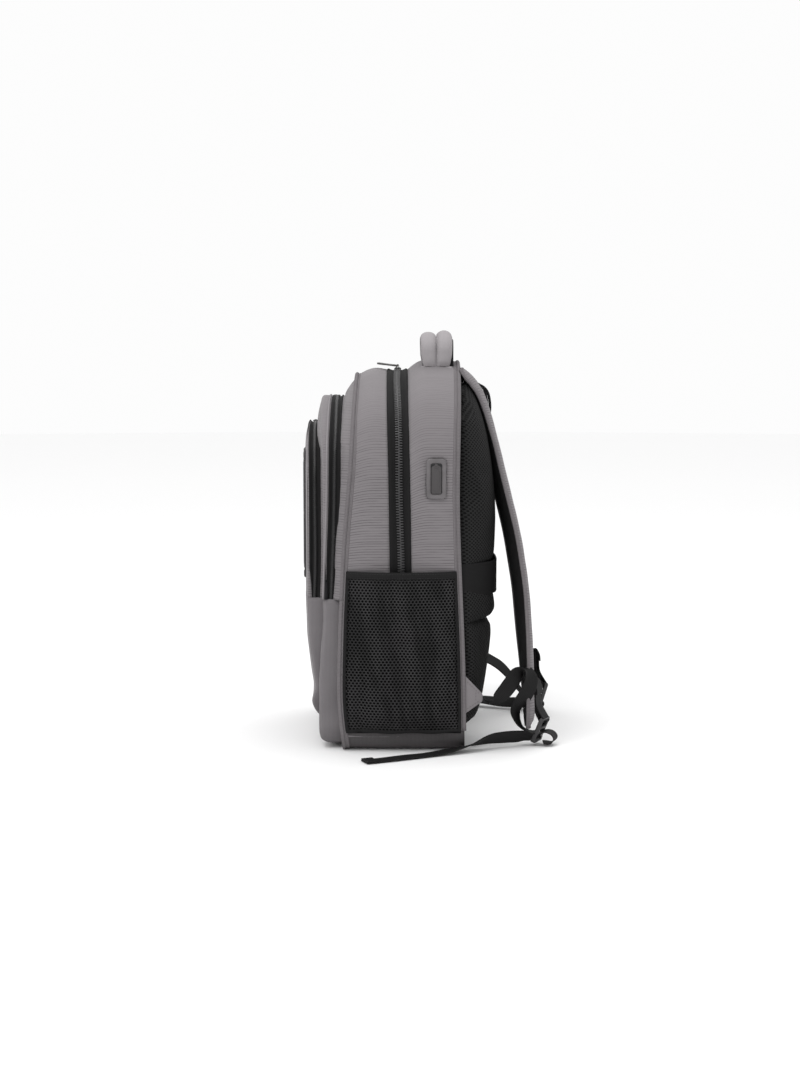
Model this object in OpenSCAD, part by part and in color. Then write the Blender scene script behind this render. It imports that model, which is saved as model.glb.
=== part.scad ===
// Backpack with a charging port on its side and a solar panel on its front pocket.
// +X is the wearer's right, -Y the front of the bag, +Z up.
// The origin is the middle of the base, on the floor.
// Three nested lids (main compartment, middle pocket, front pocket) fold forward about one line.

/* [Main compartment] */
// Width across the two side walls
body_w = 300; // [290:2:310]
// Height of the rear half, at the middle of its top
rear_h = 466; // [462:1:474]
// Height of the front half and of the main zip
front_h = 457; // [452:1:459]
// Thickness of padded fabric walls
wall = 3; // [2.5:0.5:4]
// Where the main zip's rear edge meets the rear half
zip_rear_y = 12; // [10:1:14]
// Visible width of the main zip
main_zip_w = 26; // [24:1:28]
// Height of the line about which every lid folds
fold_z = 183; // [178:1:190]

/* [Front pockets] */
// Width of the middle pocket
middle_w = 270; // [260:2:278]
// Height of the middle pocket's top
middle_h = 424; // [420:1:428]
// Width of the front pocket
pocket_w = 236; // [230:2:244]
// Height of the front pocket's top
pocket_h = 391; // [386:1:396]
// Visible width of the two pocket zips
pocket_zip_w = 14; // [13:0.5:15]
// Front face of the front pocket, ahead of the origin
face_y = -118.5; // [-120:0.5:-118]

/* [Solar panel] */
// Width of the panel's fabric border
panel_w = 172; // [150:2:180]
// Height of the panel's fabric border
panel_h = 156; // [140:2:160]
// Cells across
cell_columns = 3; // [2:1:4]
// Rows of cells
cell_rows = 2; // [1:1:3]

/* [Side pockets] */
// Height of a mesh pocket's mouth
mouth_z = 219; // [212:1:222]
// How far a mesh pocket stands off the side wall
pocket_bulge = 15; // [12:1:18]

/* [Carrying] */
// Width of all the webbing
webbing_w = 20; // [18:1:22]
// Thickness of all the webbing
webbing_t = 1.4; // [1.2:0.1:1.6]
// Thickness of a shoulder strap, shell and mesh together
strap_t = 13; // [11:0.5:14]
// Width of the top handle's band
handle_w = 38; // [34:1:42]
// Length of the top handle's loop
handle_l = 112; // [104:2:120]

/* [Charging port] */
// Width of the port's frame
port_w = 24; // [23:0.5:26]
// Height of the port's frame
port_h = 48; // [46:1:50]

/* [Hidden] */

gap = 0.4;                          // clearance between pieces that move apart
far = 600;                          // longer than any piece, for cuts and sweeps
crown_r = 180;                      // radius of the broad arch at the top of every panel
crown_a = 40;                       // half its angle, where the corner arcs take over
narrow_crown_a = 30;                // the same on a panel narrower than narrow_w
narrow_w = 250;
base_t = 3;                         // thickness of the base
zip_c = zip_rear_y - main_zip_w / 2;            // middle line of the main zip
front_edge_y = zip_rear_y - main_zip_w;         // rear edge of the front half
middle_zip_c = -81;                 // middle line of the middle pocket's zip
front_zip_c = face_y + 12;          // middle line of the front pocket's zip
middle_face_y = -98;                // front face of the middle pocket
lid_z = fold_z + 0.5;               // lowest point of every lid
low_z = fold_z - 0.5;               // highest point of what stays below the lids

// Side view of the bag: [height, depth] down the front seam and the back seam
front_seam = [[0, -64], [63, -70], [304, -58], [front_h + 20, -50]];
back_seam = [[0, 75], [112, 73], [304, 66], [rear_h + 20, 70]];

// ---------- helpers ----------

// Points on an arc about [cx, cz], from angle a0 to a1
function arc(cx, cz, r, a0, a1, n) =
    [for (i = [0:n]) let (a = a0 + (a1 - a0) * i / n) [cx + r * cos(a), cz + r * sin(a)]];

// Front view of a panel w wide and z1 high: a broad arch, round shoulders, round lower corners.
// inset shrinks it all round.
function arch(w, z1, inset = 0, z0 = 0, r0 = 26) =
    let (half = w / 2 - inset, top = z1 - inset, r1 = crown_r - inset,
         a = w < narrow_w ? narrow_crown_a : crown_a,
         r2 = (half - r1 * sin(a)) / (1 - sin(a)), cz = top - r1,
         sx = (r1 - r2) * sin(a), sz = cz + (r1 - r2) * cos(a), rb = r0 - inset)
    concat(arc(half - rb, z0 + r0, rb, -90, 0, 4),
           arc(sx, sz, r2, 0, 90 - a, 5),
           arc(0, cz, r1, 90 - a + 8, 90 + a - 8, 8),
           arc(-sx, sz, r2, 90 + a, 180, 5),
           arc(rb - half, z0 + r0, rb, 180, 270, 4));

// A front-view outline, from depth y0 to y1
module along_y(y0, y1) translate([0, y1, 0]) rotate([90, 0, 0]) linear_extrude(y1 - y0) children();

// A side-view outline, from x0 to x1
module along_x(x0, x1) translate([x0, 0, 0]) rotate([90, 0, 90]) linear_extrude(x1 - x0) children();

// A plan-view outline, from height z0 to z1
module along_z(z0, z1) translate([0, 0, z0]) linear_extrude(z1 - z0) children();

// What a front-view outline and a side-view outline have in common
module slab(outline, profile) intersection() {
    along_y(-far, far) polygon(outline);
    along_x(-far, far) polygon(profile);
}

// A side-view rectangle
function block(y0, y1, z0, z1) = [[y0, z0], [y1, z0], [y1, z1], [y0, z1]];

// A band along the outline between two insets
module ring(w, top, outer, inner, profile) difference() {
    slab(arch(w, top, outer), profile);
    along_y(-far, far) polygon(arch(w, top, inner));
}

// Unit vector and its left-hand normal, in the plane
function unit(v) = v / norm(v);
function left(v) = [-v[1], v[0]];

// Both sides of a line of points in a side view, at distances t0 and t1 to its left
function strip(path, t0, t1) =
    let (n = len(path) - 1,
         way = [for (i = [0:n]) unit(path[min(i + 1, n)] - path[max(i - 1, 0)])])
    concat([for (i = [0:n]) path[i] + t0 * left(way[i])],
           [for (i = [n:-1:0]) path[i] + t1 * left(way[i])]);

// A mirrored pair
module both() {
    children();
    mirror([1, 0, 0]) children();
}

// A round tube of diameter d along points
module tube(path, d, sides = 8) {
    n = len(path) - 1;
    way = [for (i = [0:n]) unit(path[min(i + 1, n)] - path[max(i - 1, 0)])];
    rings = [for (i = [0:n])
        let (t = way[i], u = unit(cross(t, abs(t[1]) < 0.9 ? [0, 1, 0] : [1, 0, 0])), v = cross(t, u))
        for (k = [0:sides - 1]) path[i] + d / 2 * (u * cos(360 * k / sides) + v * sin(360 * k / sides))];
    polyhedron(rings, concat(
        [[for (k = [0:sides - 1]) k]],
        [[for (k = [sides - 1:-1:0]) n * sides + k]],
        [for (i = [0:n - 1], k = [0:sides - 1]) let (m = (k + 1) % sides)
            each [[i * sides + k, (i + 1) * sides + k, (i + 1) * sides + m],
                  [i * sides + k, (i + 1) * sides + m, i * sides + m]]]));
}

// A flat ribbon along points; side holds its width direction at each point
module ribbon(path, side, w = webbing_w, t = webbing_t) {
    n = len(path) - 1;
    way = [for (i = [0:n]) unit(path[min(i + 1, n)] - path[max(i - 1, 0)])];
    rings = [for (i = [0:n])
        let (s = unit(side[i] - (side[i] * way[i]) * way[i]), up = cross(way[i], s))
        for (c = [[-1, -1], [1, -1], [1, 1], [-1, 1]]) path[i] + c[0] * w / 2 * s + c[1] * t / 2 * up];
    polyhedron(rings, concat(
        [[0, 1, 2, 3]],
        [[4 * n + 3, 4 * n + 2, 4 * n + 1, 4 * n]],
        [for (i = [0:n - 1], k = [0:3]) let (m = (k + 1) % 4)
            each [[4 * i + k, 4 * i + 4 + k, 4 * i + 4 + m], [4 * i + k, 4 * i + 4 + m, 4 * i + m]]]));
}

// ---------- colours ----------
module grey() color([0.47, 0.45, 0.46]) children();
module light_grey() color([0.55, 0.53, 0.54]) children();
module black() color([0.13, 0.13, 0.13]) children();
module mesh() color([0.17, 0.17, 0.17]) children();
module metal() color([0.6, 0.6, 0.62]) children();

// ---------- main compartment ----------

// Where the front seam lies at a height
function front_y(z) = lookup(z, front_seam);
function back_y(z) = lookup(z, back_seam);

// Side view from the front seam, moved back by t, to depth y1, between two heights
function front_profile(t, y1, z0, z1) = let (cuts = [for (p = front_seam) if (p[0] > z0 && p[0] < z1) p[0]])
    concat([[y1, z1], [front_y(z1) + t, z1]],
           [for (i = [len(cuts) - 1:-1:0]) [front_y(cuts[i]) + t, cuts[i]]],
           [[front_y(z0) + t, z0], [y1, z0]]);

// Side view from depth y0 to the back seam, moved back by t
function back_profile(y0, t, z0, z1) = let (cuts = [for (p = back_seam) if (p[0] > z0 && p[0] < z1) p[0]])
    concat([[y0, z0], [back_y(z0) + t, z0]],
           [for (z = cuts) [back_y(z) + t, z]],
           [[back_y(z1) + t, z1], [y0, z1]]);

module base_panel() grey() slab(arch(body_w, front_h), block(front_y(0), back_y(0), 0, base_t));

// Rear half of the bag: side walls and padded top, with a hole for the charging port
module rear_gusset() grey() difference() {
    intersection() {
        slab(arch(body_w, rear_h), back_profile(zip_rear_y, 0, base_t, rear_h));
        along_x(-far, far) polygon([[zip_rear_y, 0], [far, 0], [far, far], [zip_rear_y + 20, far],
                                    [zip_rear_y + 20, rear_h], [zip_rear_y, front_h + 2]]);
    }
    along_y(-far, far) polygon(arch(body_w, front_h, wall));
    translate([body_w / 2 - 10, port_y - port_w / 2 + 4, port_z - port_h / 2 + 4])
        cube([20, port_w - 8, port_h - 8]);
}

module back_panel() black() difference() {
    slab(arch(body_w, rear_h, 3), back_profile(60, 4, base_t, rear_h));
    slab(arch(body_w + 20, rear_h + 20), back_profile(0, 0, -far, far));
}

// Plastic sheet behind the laptop that keeps the back flat
module frame_sheet() color([0.85, 0.85, 0.82]) slab(
    arch(body_w - 30, 425, 0, 14), strip([for (z = [14, 112, 304, 425]) [back_y(z) - 1, z]], 0.2, 1.7));

// Stiff board on the floor of the main compartment
board_w = body_w - 68;
board_d = 108;
module base_board() color([0.2, 0.2, 0.2]) along_z(base_t, base_t + 2.5)
    translate([-board_w / 2, front_y(0) + 12]) square([board_w, board_d]);

// Front half below the fold: side walls, front wall and the gusset under the zip's end
module lower_tub() grey() difference() {
    slab(arch(body_w, front_h), front_profile(0, zip_rear_y, base_t, low_z));
    slab(arch(body_w, front_h, wall), front_profile(wall, far, -far, low_z + 1));
}

module laptop_divider() color([0.16, 0.16, 0.17])
    slab(arch(250, 340, 0, 6), block(48, 51, 6, 340));

// Front half above the fold
module main_front_panel() grey() difference() {
    slab(arch(body_w, front_h), front_profile(0, front_edge_y, lid_z, front_h));
    slab(arch(body_w, front_h, wall), front_profile(wall, far, -far, front_h));
}

// Seam cord, up one side from z0, round the top of the outline and down the other side.
// It lies beside a seam, off to the seam's side by off.
piping_d = 5;
module piping(top, seam, off, z0) {
    rise = [z0, 63, 112, 150, 220, 304];
    right = [for (z = rise) if (z >= z0) [body_w / 2, lookup(z, seam) + off, z]];
    crown = [for (p = arch(body_w, top)) if (p[1] > 320) [p[0], lookup(p[1], seam) + off, p[1]]];
    left = [for (i = [len(right) - 1:-1:0]) [-right[i][0], right[i][1], right[i][2]]];
    tube(concat(right, crown, left), piping_d);
}
seam_off = piping_d / 2 + 0.1;

module back_piping() light_grey() piping(rear_h, back_seam, seam_off, 26);
module front_piping_upper() light_grey() piping(front_h, front_seam, -seam_off, lid_z + 1);

// The lower lengths of the front seam cord, one each side
module front_piping_lower() light_grey() both() tube(
    [for (z = [26, 63, 120, low_z - 1]) [body_w / 2, front_y(z) - seam_off, z]], piping_d);

// ---------- zips ----------

// Half a zip: tape and half of the coil, along an outline, from its middle line to one side
module zip_half(w, top, middle, edge, z0 = lid_z) black() {
    behind = edge > middle;
    coil_w = abs(edge - middle) > 10 ? 4.5 : 3;
    y0 = behind ? middle + gap / 2 : edge;
    y1 = behind ? edge : middle - gap / 2;
    ring(w, top, 1, 2.6, block(y0, y1, z0, far));
    ring(w, top, -0.6, 1.4, block(behind ? y0 : y1 - coil_w, behind ? y0 + coil_w : y1, z0, far));
}

module main_zip_rear() zip_half(body_w, front_h, zip_c, zip_rear_y, low_z);
module main_zip_front() zip_half(body_w, front_h, zip_c, front_edge_y);
module middle_zip_rear() zip_half(middle_w, middle_h, middle_zip_c, middle_zip_c + pocket_zip_w / 2);
module middle_zip_front() zip_half(middle_w, middle_h, middle_zip_c, middle_zip_c - pocket_zip_w / 2);
module front_zip_rear() zip_half(pocket_w, pocket_h, front_zip_c, front_zip_c + pocket_zip_w / 2);
module front_zip_front() zip_half(pocket_w, pocket_h, front_zip_c, front_zip_c - pocket_zip_w / 2);

// Moves a piece made at the top of an arch round that arch
module round_crown(top, angle) translate([0, 0, top - crown_r]) rotate([0, angle, 0])
    translate([0, 0, crown_r - top]) children();

slider_up = 1.1;                    // height of a slider's underside over the top of its outline

// Upper plate and bail of a slider at the top of an arch; long lies along the zip
module slider(top, middle, long) metal() translate([0, middle, top + slider_up]) {
    translate([-long / 2, -3.6, 0]) cube([long, 7.2, 1.8]);
    translate([-2.5, -1.4, 1.8]) difference() {
        cube([5, 2.8, 4]);
        translate([-1, 1.4, 1.8]) rotate([0, 90, 0]) cylinder(r = 0.9, h = 7, $fn = 20);
    }
}

// Bail turned so that its pull swings across the zip; the pull lies towards the front
bail_z = slider_up + 3.6;           // height of a bail's pin hole over the top of its outline
module cross_pull(top, middle, long) metal() translate([0, middle, top + bail_z]) {
    both() translate([3.1, -1.6, -0.7]) cube([1.2, 3.2, 1.4]);
    rotate([0, 90, 0]) translate([0, 0, -4.3]) cylinder(r = 0.55, h = 8.6, $fn = 20);
    both() translate([3.1, -7, -0.7]) cube([1.2, 6, 1.4]);
    translate([-4.3, -long, -0.7]) cube([8.6, long - 6, 1.4]);
}

main_slider_a = 5;                  // angle of the main sliders from the top of the arch
module main_slider_right() round_crown(front_h, main_slider_a) slider(front_h, zip_c - 2, 11);
module main_slider_left() round_crown(front_h, -main_slider_a) slider(front_h, zip_c - 2, 11);
module main_pull_right() round_crown(front_h, main_slider_a) cross_pull(front_h, zip_c - 2, 26);
module main_pull_left() round_crown(front_h, -main_slider_a) cross_pull(front_h, zip_c - 2, 26);

// The pocket zips have smaller sliders, whose pulls lie along the zip
middle_slider_a = -14;
front_slider_a = -12;
module small_slider(top, middle) metal() translate([0, middle, top + slider_up]) {
    translate([-4.5, -2.6, 0]) cube([9, 5.2, 1.6]);
    translate([-1.3, -2, 1.6]) difference() {
        cube([2.6, 4, 3.2]);
        translate([1.3, -1, 1.5]) rotate([-90, 0, 0]) cylinder(r = 0.9, h = 7, $fn = 20);
    }
}
small_bail_z = slider_up + 3.1;
module small_pull(top, middle) metal() translate([0, middle, top + small_bail_z]) {
    rotate([-90, 0, 0]) translate([0, 0, -3.4]) cylinder(r = 0.55, h = 6.8, $fn = 20);
    for (s = [-1, 1]) translate([-7, s * 2.9 - 0.5, -0.6]) cube([7.6, 1, 1.2]);
    translate([-24, -3.4, -0.6]) cube([17, 6.8, 1.2]);
}
module middle_slider() round_crown(middle_h, middle_slider_a) small_slider(middle_h, middle_zip_c - 1.5);
module middle_pull() round_crown(middle_h, middle_slider_a) small_pull(middle_h, middle_zip_c - 1.5);
module front_slider() round_crown(pocket_h, front_slider_a) small_slider(pocket_h, front_zip_c - 1.5);
module front_pull() round_crown(pocket_h, front_slider_a) small_pull(pocket_h, front_zip_c - 1.5);

// ---------- front pockets ----------

module middle_pocket_lower() grey() difference() {
    slab(arch(middle_w, middle_h, 0, 3), [[-66, 3], [-88, 3], [-96, 8], [middle_face_y, 30],
                                          [middle_face_y, low_z], [-66, low_z]]);
    slab(arch(body_w + 20, front_h), front_profile(0, far, -far, far));
    slab(arch(middle_w, middle_h, wall, 3),
         [[-60, 3 + wall], [-87, 3 + wall], [-94, 10], [middle_face_y + wall, 31],
          [middle_face_y + wall, far], [-60, far]]);
}

module front_pocket_lower() grey() difference() {
    slab(arch(pocket_w, pocket_h, 0, 48), [[middle_face_y - 0.2, 48], [-112, 48], [face_y + 0.5, 84],
                                           [face_y, low_z], [middle_face_y - 0.2, low_z]]);
    slab(arch(pocket_w, pocket_h, wall, 48),
         [[-80, 48 + wall], [-111, 48 + wall], [face_y + wall + 0.5, 86], [face_y + wall, far], [-80, far]]);
}

// The middle pocket's side walls, between the main front panel and its zip
module middle_pocket_rear() grey() difference() {
    ring(middle_w, middle_h, 0, wall, block(middle_zip_c + pocket_zip_w / 2, -50, lid_z, far));
    slab(arch(body_w + 20, front_h + 20), front_profile(0, far, -far, front_h + 20));
}

// What lies between the two pocket zips: the middle pocket's front wall and the front pocket's side walls
module middle_pocket_front() grey() union() {
    edge = middle_zip_c - pocket_zip_w / 2;
    difference() {
        slab(arch(middle_w, middle_h), block(middle_face_y, edge, lid_z, far));
        slab(arch(middle_w, middle_h, wall), block(middle_face_y + wall, far, -far, far));
    }
    ring(pocket_w, pocket_h, 0, wall, block(front_zip_c + pocket_zip_w / 2, middle_face_y + 1, lid_z, far));
}

module front_face() grey() difference() {
    edge = front_zip_c - pocket_zip_w / 2;
    slab(arch(pocket_w, pocket_h), block(face_y, edge, lid_z, far));
    slab(arch(pocket_w, pocket_h, wall), block(face_y + 2.4, far, -far, far));
    translate([-15, face_y - 1, panel_z - 5]) cube([30, 10, 20]);
}

// ---------- solar panel ----------

panel_z = fold_z + 20 + panel_h / 2;            // height of the panel's middle
border = 11;                        // width of the fabric border outside the laminate
cell_gap = 3;

// Front-view rectangle with round corners, made of true arcs
module round_rect(w, h, r) union() {
    square([w - 2 * r, h], center = true);
    square([w, h - 2 * r], center = true);
    for (x = [-1, 1], z = [-1, 1]) translate([x * (w / 2 - r), z * (h / 2 - r)]) circle(r, $fn = 32);
}

// A sheet of the panel: t thick, its back d ahead of the pocket's face
module panel_sheet(w, h, r, d, t) translate([0, 0, panel_z]) along_y(face_y - d - t, face_y - d)
    round_rect(w, h, r);

module solar_border() black() difference() {
    panel_sheet(panel_w, panel_h, 8, 0.05, 1.4);
    translate([-15, face_y - 9, panel_z - 5]) cube([30, 10, 20]);
}

module solar_laminate() color([0.05, 0.06, 0.1])
    panel_sheet(panel_w - 2 * border, panel_h - 2 * border, 5, 1.45, 0.9);

module solar_cells() color([0.03, 0.05, 0.14]) {
    w = (panel_w - 2 * border - 8 - (cell_columns - 1) * cell_gap) / cell_columns;
    h = (panel_h - 2 * border - 8 - (cell_rows - 1) * cell_gap) / cell_rows;
    for (c = [0:cell_columns - 1], r = [0:cell_rows - 1])
        translate([(c - (cell_columns - 1) / 2) * (w + cell_gap), 0,
                   (r - (cell_rows - 1) / 2) * (h + cell_gap)]) panel_sheet(w, h, 6, 2.35, 0.25);
}

// Press studs that hold the panel's border to the pocket
module solar_snaps() metal() for (x = [-1, 1], z = [-1, 0, 1])
    translate([x * (panel_w - border) / 2, 0, panel_z + z * (panel_h - border) / 2])
        along_y(face_y - 2.6, face_y - 1.45) circle(4, $fn = 32);

// The panel's regulator and its USB outlet, inside the front pocket
module junction_box() black() difference() {
    translate([-14.5, face_y - 1.4, panel_z - 4.5]) cube([29, 7, 19]);
    translate([-6.6, face_y + 0.2, panel_z - 5]) cube([13.2, 4.6, 12]);
}

// ---------- side pockets ----------

// Right-hand mesh pocket: a bowed wall and a sloping floor, whose edges lie just off the side wall
pocket_z = 24;                      // lowest point of a mesh pocket
mesh_t = 2.2;
module mesh_pocket() mesh() {
    x0 = body_w / 2 + 0.6;
    y0 = front_y(150) + 5;
    y1 = back_y(mouth_z) - 1;
    bow = [for (i = [0:8]) [x0 + 1 + pocket_bulge * sin(22.5 * i) ^ 0.7, y0 + (y1 - y0) * i / 8]];
    inside = [for (p = bow) [p[0] - mesh_t, max(y0 + 3, min(y1 - 3, p[1]))]];
    deep = pocket_bulge + 2;
    difference() {
        intersection() {
            along_z(pocket_z, mouth_z) polygon(concat(bow, [[x0, y1], [x0, y0]]));
            along_y(-far, far) polygon([[x0, pocket_z], [x0 + 3, pocket_z], [x0 + deep, pocket_z + 12],
                                        [x0 + deep, mouth_z], [x0, mouth_z]]);
        }
        intersection() {
            along_z(pocket_z, mouth_z + 1) polygon(concat([[x0 - 1, y0 + 3]], inside, [[x0 - 1, y1 - 3]]));
            along_y(-far, far) polygon([[x0 - 1, pocket_z + 2.5], [x0 + 2.2, pocket_z + 2.5],
                                        [x0 + deep, pocket_z + 15], [x0 + deep, mouth_z + 1],
                                        [x0 - 1, mouth_z + 1]]);
        }
    }
}
module mesh_pocket_right() mesh_pocket();
module mesh_pocket_left() mirror([1, 0, 0]) mesh_pocket();

// ---------- back ----------

// Side view of the pads' outer surface: [height, depth]
pad_crown = [[12, 80], [30, 88], [49, 95], [85, 104], [128, 112], [154, 115], [170, 119], [184, 116],
             [230, 116], [298, 113], [330, 108.5], [371, 101.5], [420, 89], [444, 80], [456, 76]];

// Plan view of a pair of pads with an air channel between them
function pad_plan(inner) = [[inner, 60], [inner, 108], [inner + 6, 125], [98, 125], [116, 112], [134, 94],
                            [147, 79], [147, 60]];

module pads(z0, z1, inner, tuck) black() both() difference() {
    intersection() {
        along_z(z0, z1) polygon(pad_plan(inner));
        along_x(0, far) polygon(concat(
            [[60, z0], [lookup(z0, pad_crown) - tuck, z0]],
            [for (p = pad_crown) if (p[0] > z0 + 3 && p[0] < z1 - 3) [p[1], p[0]]],
            [[lookup(z1, pad_crown) - tuck, z1], [60, z1]]));
        along_y(0, far) polygon(arch(body_w, rear_h, 5));
    }
    slab(arch(body_w + 20, rear_h + 20), back_profile(0, 4, -far, far));
}
module upper_back_pads() pads(230, 440, 22, 6);
module lumbar_pads() pads(156, 184, 22, 6);
module lower_back_pads() pads(12, 154, 22, 4);

// Band that slips over a suitcase handle
module luggage_strap() black() difference() {
    along_z(187, 227) polygon(strip([[-145, 68], [-143, 80], [-133, 92], [-116, 107], [-96, 114], [0, 115],
                                     [96, 114], [116, 107], [133, 92], [143, 80], [145, 68]], -1.2, 1.2));
    slab(arch(body_w + 20, rear_h + 20), back_profile(0, 4, -far, far));
}

// Folded strip over the ends of the shoulder straps
module strap_yoke() grey() intersection() {
    along_x(-far, far) polygon([[back_y(441) + 4, 441], [77, 441], [79, 446], [79, 453],
                                [back_y(458) + 4, 458]]);
    along_y(0, far) polygon(arch(body_w, rear_h, 5));
}

// ---------- handle ----------

handle_y = 45;
handle_z = rear_h + 1;              // height of the line about which the handle leans
handle_x = handle_l / 2 - 5;        // middle of each of the handle's two ends

// Patches sewn to the bag's top under the handle's two ends
module handle_anchors() grey() intersection() {
    ring(body_w, rear_h, -2.4, 0, block(handle_y - handle_w / 2, handle_y + handle_w / 2, 400, far));
    both() along_x(handle_x - 12, handle_x + 12) square([far, far]);
}

module top_handle() light_grey() {
    band = concat([[-handle_x, handle_z - 1.5]], arc(17 - handle_x, rear_h + 13, 16, 170, 90, 4),
                  arc(handle_x - 17, rear_h + 13, 16, 90, 10, 4), [[handle_x, handle_z - 1.5]]);
    wide = handle_w / 2;
    intersection() {
        along_y(-far, far) polygon(strip(band, -6, 6));
        translate([0, handle_y, handle_z]) along_x(-far, far)
            polygon([[-5, -1.5], [5, -1.5], [wide, 14], [wide, far], [-wide, far], [-wide, 14]]);
    }
}

// ---------- shoulder straps ----------

// Side view of a strap's middle surface: [depth, height]
strap_line = [[85, 445], [91, 437], [99, 420], [112, 371], [120, 335], [129, 298], [138, 260], [144, 225],
              [149, 190], [152, 152], [155, 110], [156.5, 79], [158.5, 23]];

// Front view of a right-hand strap: [height, middle, half width]
strap_plan = [[24, 112, 17], [34, 111, 21], [79, 107, 26], [152, 97, 31], [225, 86, 34], [298, 75, 34],
              [371, 63, 32], [452, 50, 26]];

module strap_layer(t0, t1) intersection() {
    along_x(0, far) polygon(strip(strap_line, t0, t1));
    along_y(0, far) polygon(concat([for (p = strap_plan) [p[1] - p[2], p[0] - 4]],
        [for (i = [len(strap_plan) - 1:-1:0]) [strap_plan[i][1] + strap_plan[i][2], strap_plan[i][0] + 4]]));
}
module strap_shell() grey() strap_layer(-1, strap_t / 2);
module strap_lining() mesh() strap_layer(-strap_t / 2, -1.1);

// The left strap stands off a little further than the right one
hinge_y = 80;                       // line about which both straps swing
hinge_z = 449;
left_lean = 2;
module lean_left() translate([0, hinge_y, hinge_z]) rotate([left_lean, 0, 0])
    translate([0, -hinge_y, -hinge_z]) mirror([1, 0, 0]) children();

module strap_right() strap_shell();
module strap_left() lean_left() strap_shell();
module strap_mesh_right() strap_lining();
module strap_mesh_left() lean_left() strap_lining();

// Triangular tab at the foot of the bag that holds the lower webbing
module strap_tab() grey() along_x(146, 150) polygon([[79.6, 95], [99, 69], [99, 61], [79.6, 36]]);
module strap_tab_right() strap_tab();
module strap_tab_left() mirror([1, 0, 0]) strap_tab();

// Ladder lock: [depth, height] of its pivot bar and its lean
lock_x = 112;
lock_bar = [176, 31];
lock_lean = 24;                     // degrees that a hanging lock leans towards the bag
lock_l = 29;                        // from the pivot bar to the lower end
lock_t = 7;

// Made with the pivot bar on the X axis, hanging down
module ladder_lock() {
    rail = 2.4;
    inner = webbing_w / 2 + 1;
    color([0.15, 0.15, 0.15]) union() {
        both() along_x(inner, inner + rail) union() {
            circle(lock_t / 2, $fn = 32);
            translate([-lock_t / 2, lock_t / 2 - lock_l]) square([lock_t, lock_l - lock_t / 2]);
            translate([0, lock_t / 2 - lock_l]) circle(lock_t / 2, $fn = 32);
        }
        for (z = [0, -10]) translate([-inner, 0, z]) rotate([0, 90, 0])
            cylinder(r = 1.6, h = 2 * inner, $fn = 24);
        translate([-inner, -1.2, -20]) cube([2 * inner, 2.4, 3.2]);
        translate([-inner, -2, -lock_l]) cube([2 * inner, 4, 3.6]);
    }
}
module place_lock() translate([lock_x, lock_bar[0], lock_bar[1]]) rotate([-lock_lean, 0, 0]) children();
module ladder_lock_right() place_lock() ladder_lock();
module ladder_lock_left() lean_left() place_lock() ladder_lock();

// Keeper loop near the top of a strap, and the webbing that holds the ladder lock
keeper_x = 54;
module strap_keeper() along_x(keeper_x - webbing_w / 2, keeper_x + webbing_w / 2) polygon(strip(
    [[101.5, 434], [108, 431], [112, 427], [114.5, 412]], -0.7, 0.7));
module lock_holder() along_x(lock_x - webbing_w / 2, lock_x + webbing_w / 2) polygon(strip(
    concat([[164.4, 68], [165.4, 50]], arc(lock_bar[0], lock_bar[1], 3, 160, 400, 8),
           [[168.6, 50], [167.4, 68]]), -0.5, 0.5));

// Lower webbing from the tab towards the ladder lock, and its tail along the floor
lower_path = [[148, 101, 65], [147, 107, 65], [143, 116, 63], [138, 126, 68], [132, 134, 75], [127, 139, 77],
              [124, 142, 71], [121, 143, 60], [117, 143, 46], [114, 143, 32], [112, 146, 20], [112, 153, 15]];
lower_side = [for (i = [0:11]) i < 2 ? [0.2, 0, 1] : [1, 0.2, 0.4 - 0.04 * i]];
tail_path = [[113, 154, 10], [118, 146, 8], [126, 130, 9], [137, 108, 11], [149, 84, 8], [160, 60, 4],
             [172, 34, 1.4], [186, 8, 1.8], [199, -18, 1.4], [210, -42, 1.4]];
tail_tilt = [0.5, 0.6, 0.5, 0.35, 0.15, 0, 0, 0, 0, 0];
tail_side = [for (tilt = tail_tilt) [0.9, 0.42, tilt]];

// On the left the webbing goes straight to its lock
left_lower_path = [[148, 101, 65], [147, 107, 65.5], [142, 120, 64], [134, 134, 57], [125, 147, 45],
                   [117, 157, 32], [113, 163, 24], [112, 168, 19]];
left_lower_side = [for (i = [0:7]) i < 2 ? [0.2, 0, 1] : [1, 0.4, 0.5 - 0.05 * i]];
left_tail_path = [[113, 168, 13], [117, 156, 9], [124, 138, 8], [136, 112, 9], [149, 84, 8], [160, 60, 4],
                  [172, 34, 1.4], [186, 8, 1.8], [199, -18, 1.4], [210, -42, 1.4]];

module strap_webbing_right() black() {
    strap_keeper();
    lock_holder();
    ribbon(lower_path, lower_side);
    ribbon(tail_path, tail_side);
}
module strap_webbing_left() black() {
    lean_left() {
        strap_keeper();
        lock_holder();
    }
    mirror([1, 0, 0]) {
        ribbon(left_lower_path, left_lower_side);
        ribbon(left_tail_path, tail_side);
    }
}

// ---------- charging port ----------

port_y = 43;
port_z = 329;
port_x = body_w / 2;

// A side-view rectangle with round corners, from x0 to x1
module port_block(w, h, r, x0, x1) translate([0, port_y, port_z]) along_x(x0, x1) round_rect(w, h, r);

module port_frame() color([0.3, 0.29, 0.3]) difference() {
    union() {
        port_block(port_w, port_h, 3, port_x + 0.1, port_x + 4);
        port_block(port_w - 8.4, port_h - 8.4, 1, port_x - 12, port_x + 1);
    }
    port_block(port_w - 11, port_h - 11, 1.5, port_x + 1.4, port_x + 6);
    translate([port_x - 13, port_y - 3.2, port_z - 7.2]) cube([20, 6.4, 14.4]);
}

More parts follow.
